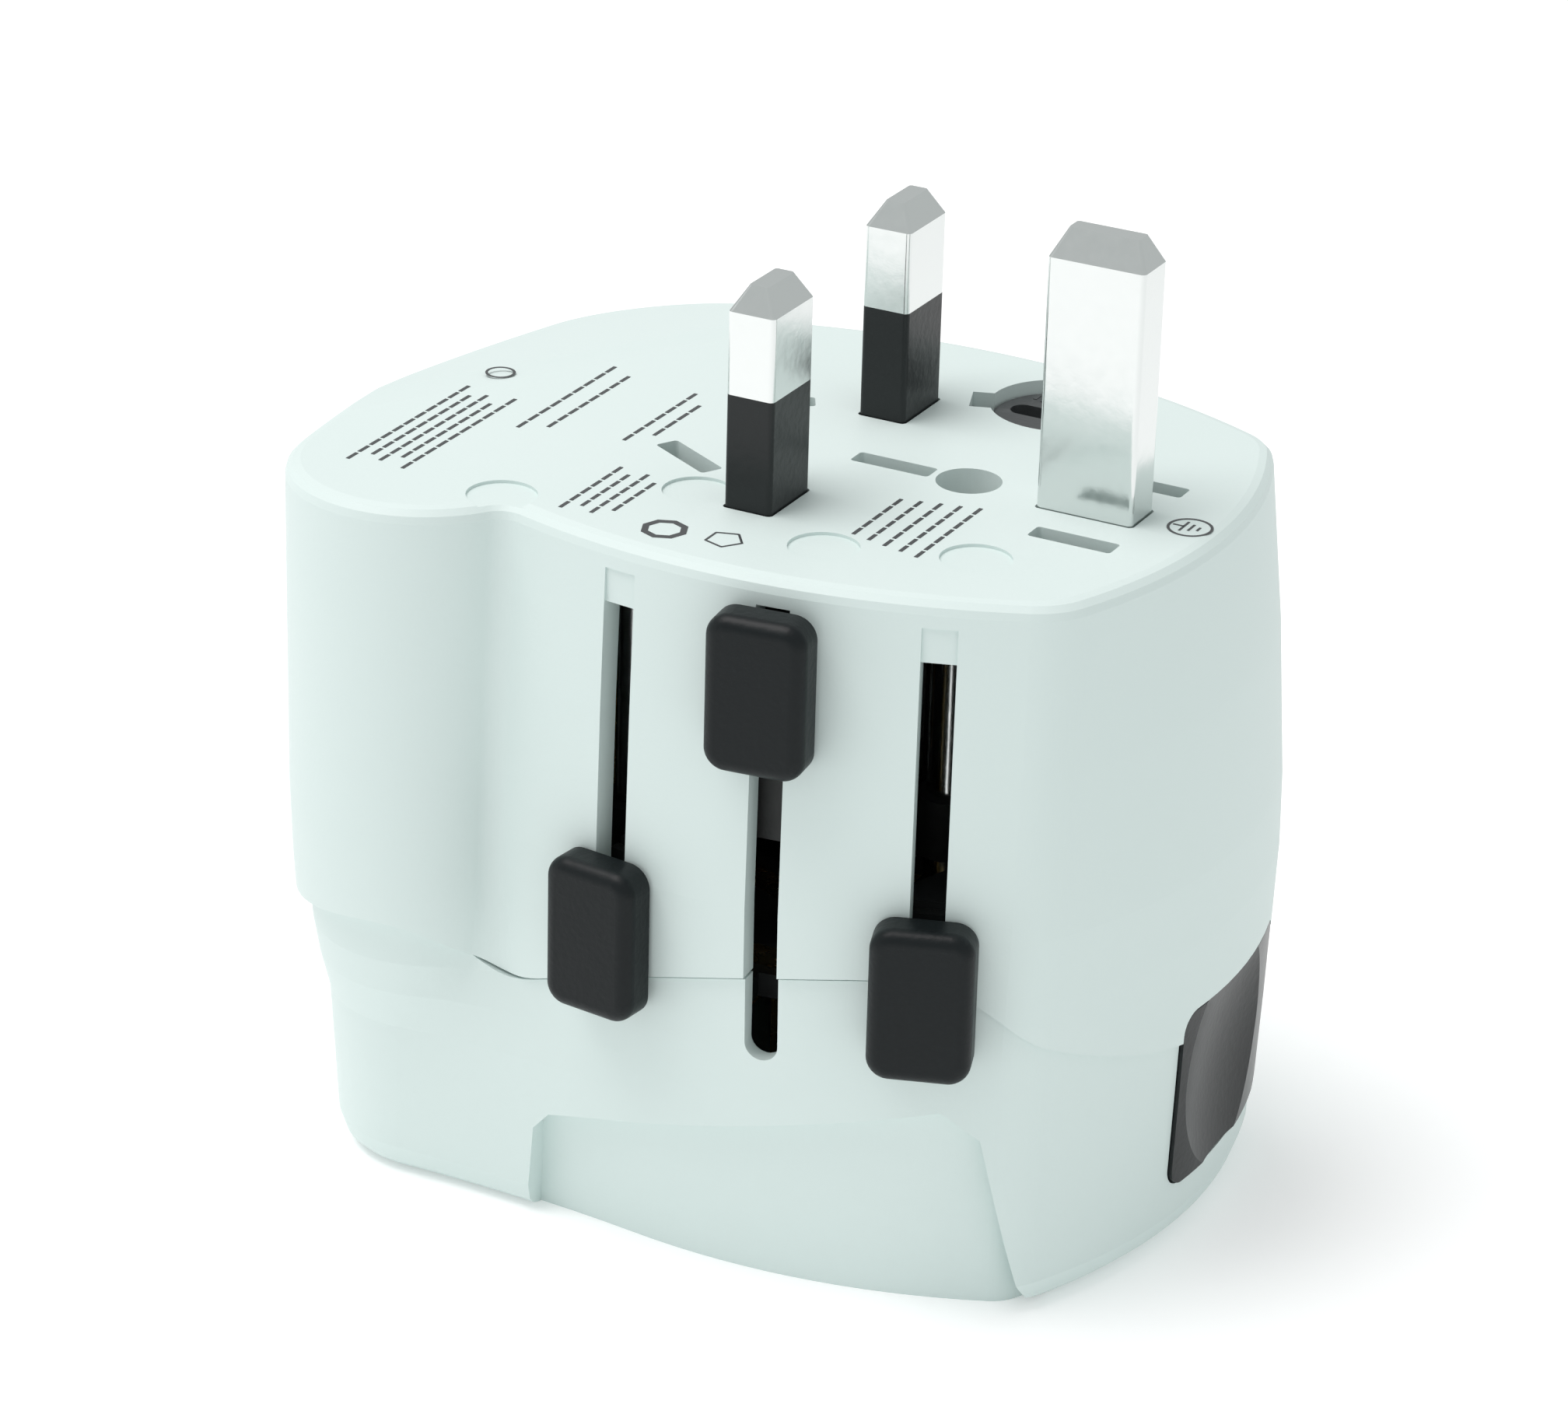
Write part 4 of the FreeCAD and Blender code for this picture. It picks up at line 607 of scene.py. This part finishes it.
def direction_turn(way):
    """Euler turn that points an object's -Z along a direction."""
    return Vector(way).to_track_quat("-Z", "Y").to_euler()


def add_camera():
    """The camera: turned round Z, raised, rolled, and slid in its own plane."""
    turn, rise, roll = (math.radians(a) for a in (CAMERA_TURN, CAMERA_RISE, CAMERA_ROLL))
    back = Vector((math.sin(turn) * math.cos(rise), -math.cos(turn) * math.cos(rise), math.sin(rise)))
    right = Vector((math.cos(turn), math.sin(turn), 0.0))
    up = back.cross(right)
    c, s = math.cos(roll), math.sin(roll)
    across = c * right + s * up
    upright = c * up - s * right
    place = (Vector((FACE_X, FACE_Y, FACE_Z)) + across * CAMERA_SLIDE[0] + upright * CAMERA_SLIDE[1]
             + back * CAMERA_AWAY)
    data = bpy.data.cameras.new("camera")
    data.lens = CAMERA_LENS
    data.sensor_width = CAMERA_SENSOR
    data.clip_start = 0.01
    camera = bpy.data.objects.new("camera", data)
    matrix = Matrix((across, upright, back)).transposed().to_4x4()
    matrix.translation = place
    camera.matrix_world = matrix
    bpy.context.scene.collection.objects.link(camera)
    return camera


class ADAPTER_PT_panel(bpy.types.Panel):
    """Sizes and colours of the adapter, with a button for each step."""

    bl_idname = "ADAPTER_PT_panel"
    bl_label = "Travel adapter"
    bl_space_type = "VIEW_3D"
    bl_region_type = "UI"
    bl_category = "Adapter"

    def draw(self, context):
        for _attribute, operator in STEPS:
            self.layout.operator(operator)
        for attribute, _group in SETTINGS:
            box = self.layout.box()
            group = getattr(context.scene, attribute)
            for name in group.__annotations__:
                box.prop(group, name)


SETTINGS = (("adapter_shell", ShellSettings), ("adapter_sliders", SliderSettings),
            ("adapter_pins", PinSettings), ("adapter_print", PrintSettings),
            ("adapter_stage", StageSettings))
STEPS = (("shell", "adapter.shell"), ("sliders", "adapter.sliders"), ("pins", "adapter.pins"),
         ("fuse", "adapter.fuse"), ("charger", "adapter.charger"), ("print", "adapter.print"),
         ("stage", "adapter.stage"))
CLASSES = (ShellSettings, SliderSettings, PinSettings, PrintSettings, StageSettings,
           ADAPTER_OT_shell, ADAPTER_OT_sliders, ADAPTER_OT_pins, ADAPTER_OT_fuse,
           ADAPTER_OT_charger, ADAPTER_OT_print, ADAPTER_OT_stage, ADAPTER_PT_panel)


def register():
    for one in CLASSES:
        bpy.utils.register_class(one)
    for attribute, group in SETTINGS:
        setattr(bpy.types.Scene, attribute, PointerProperty(type=group))


def unregister():
    for attribute, _group in SETTINGS:
        delattr(bpy.types.Scene, attribute)
    for one in reversed(CLASSES):
        bpy.utils.unregister_class(one)


def main():
    register()
    for step, _operator in STEPS:
        getattr(bpy.ops.adapter, step)()


if __name__ == "__main__":
    main()
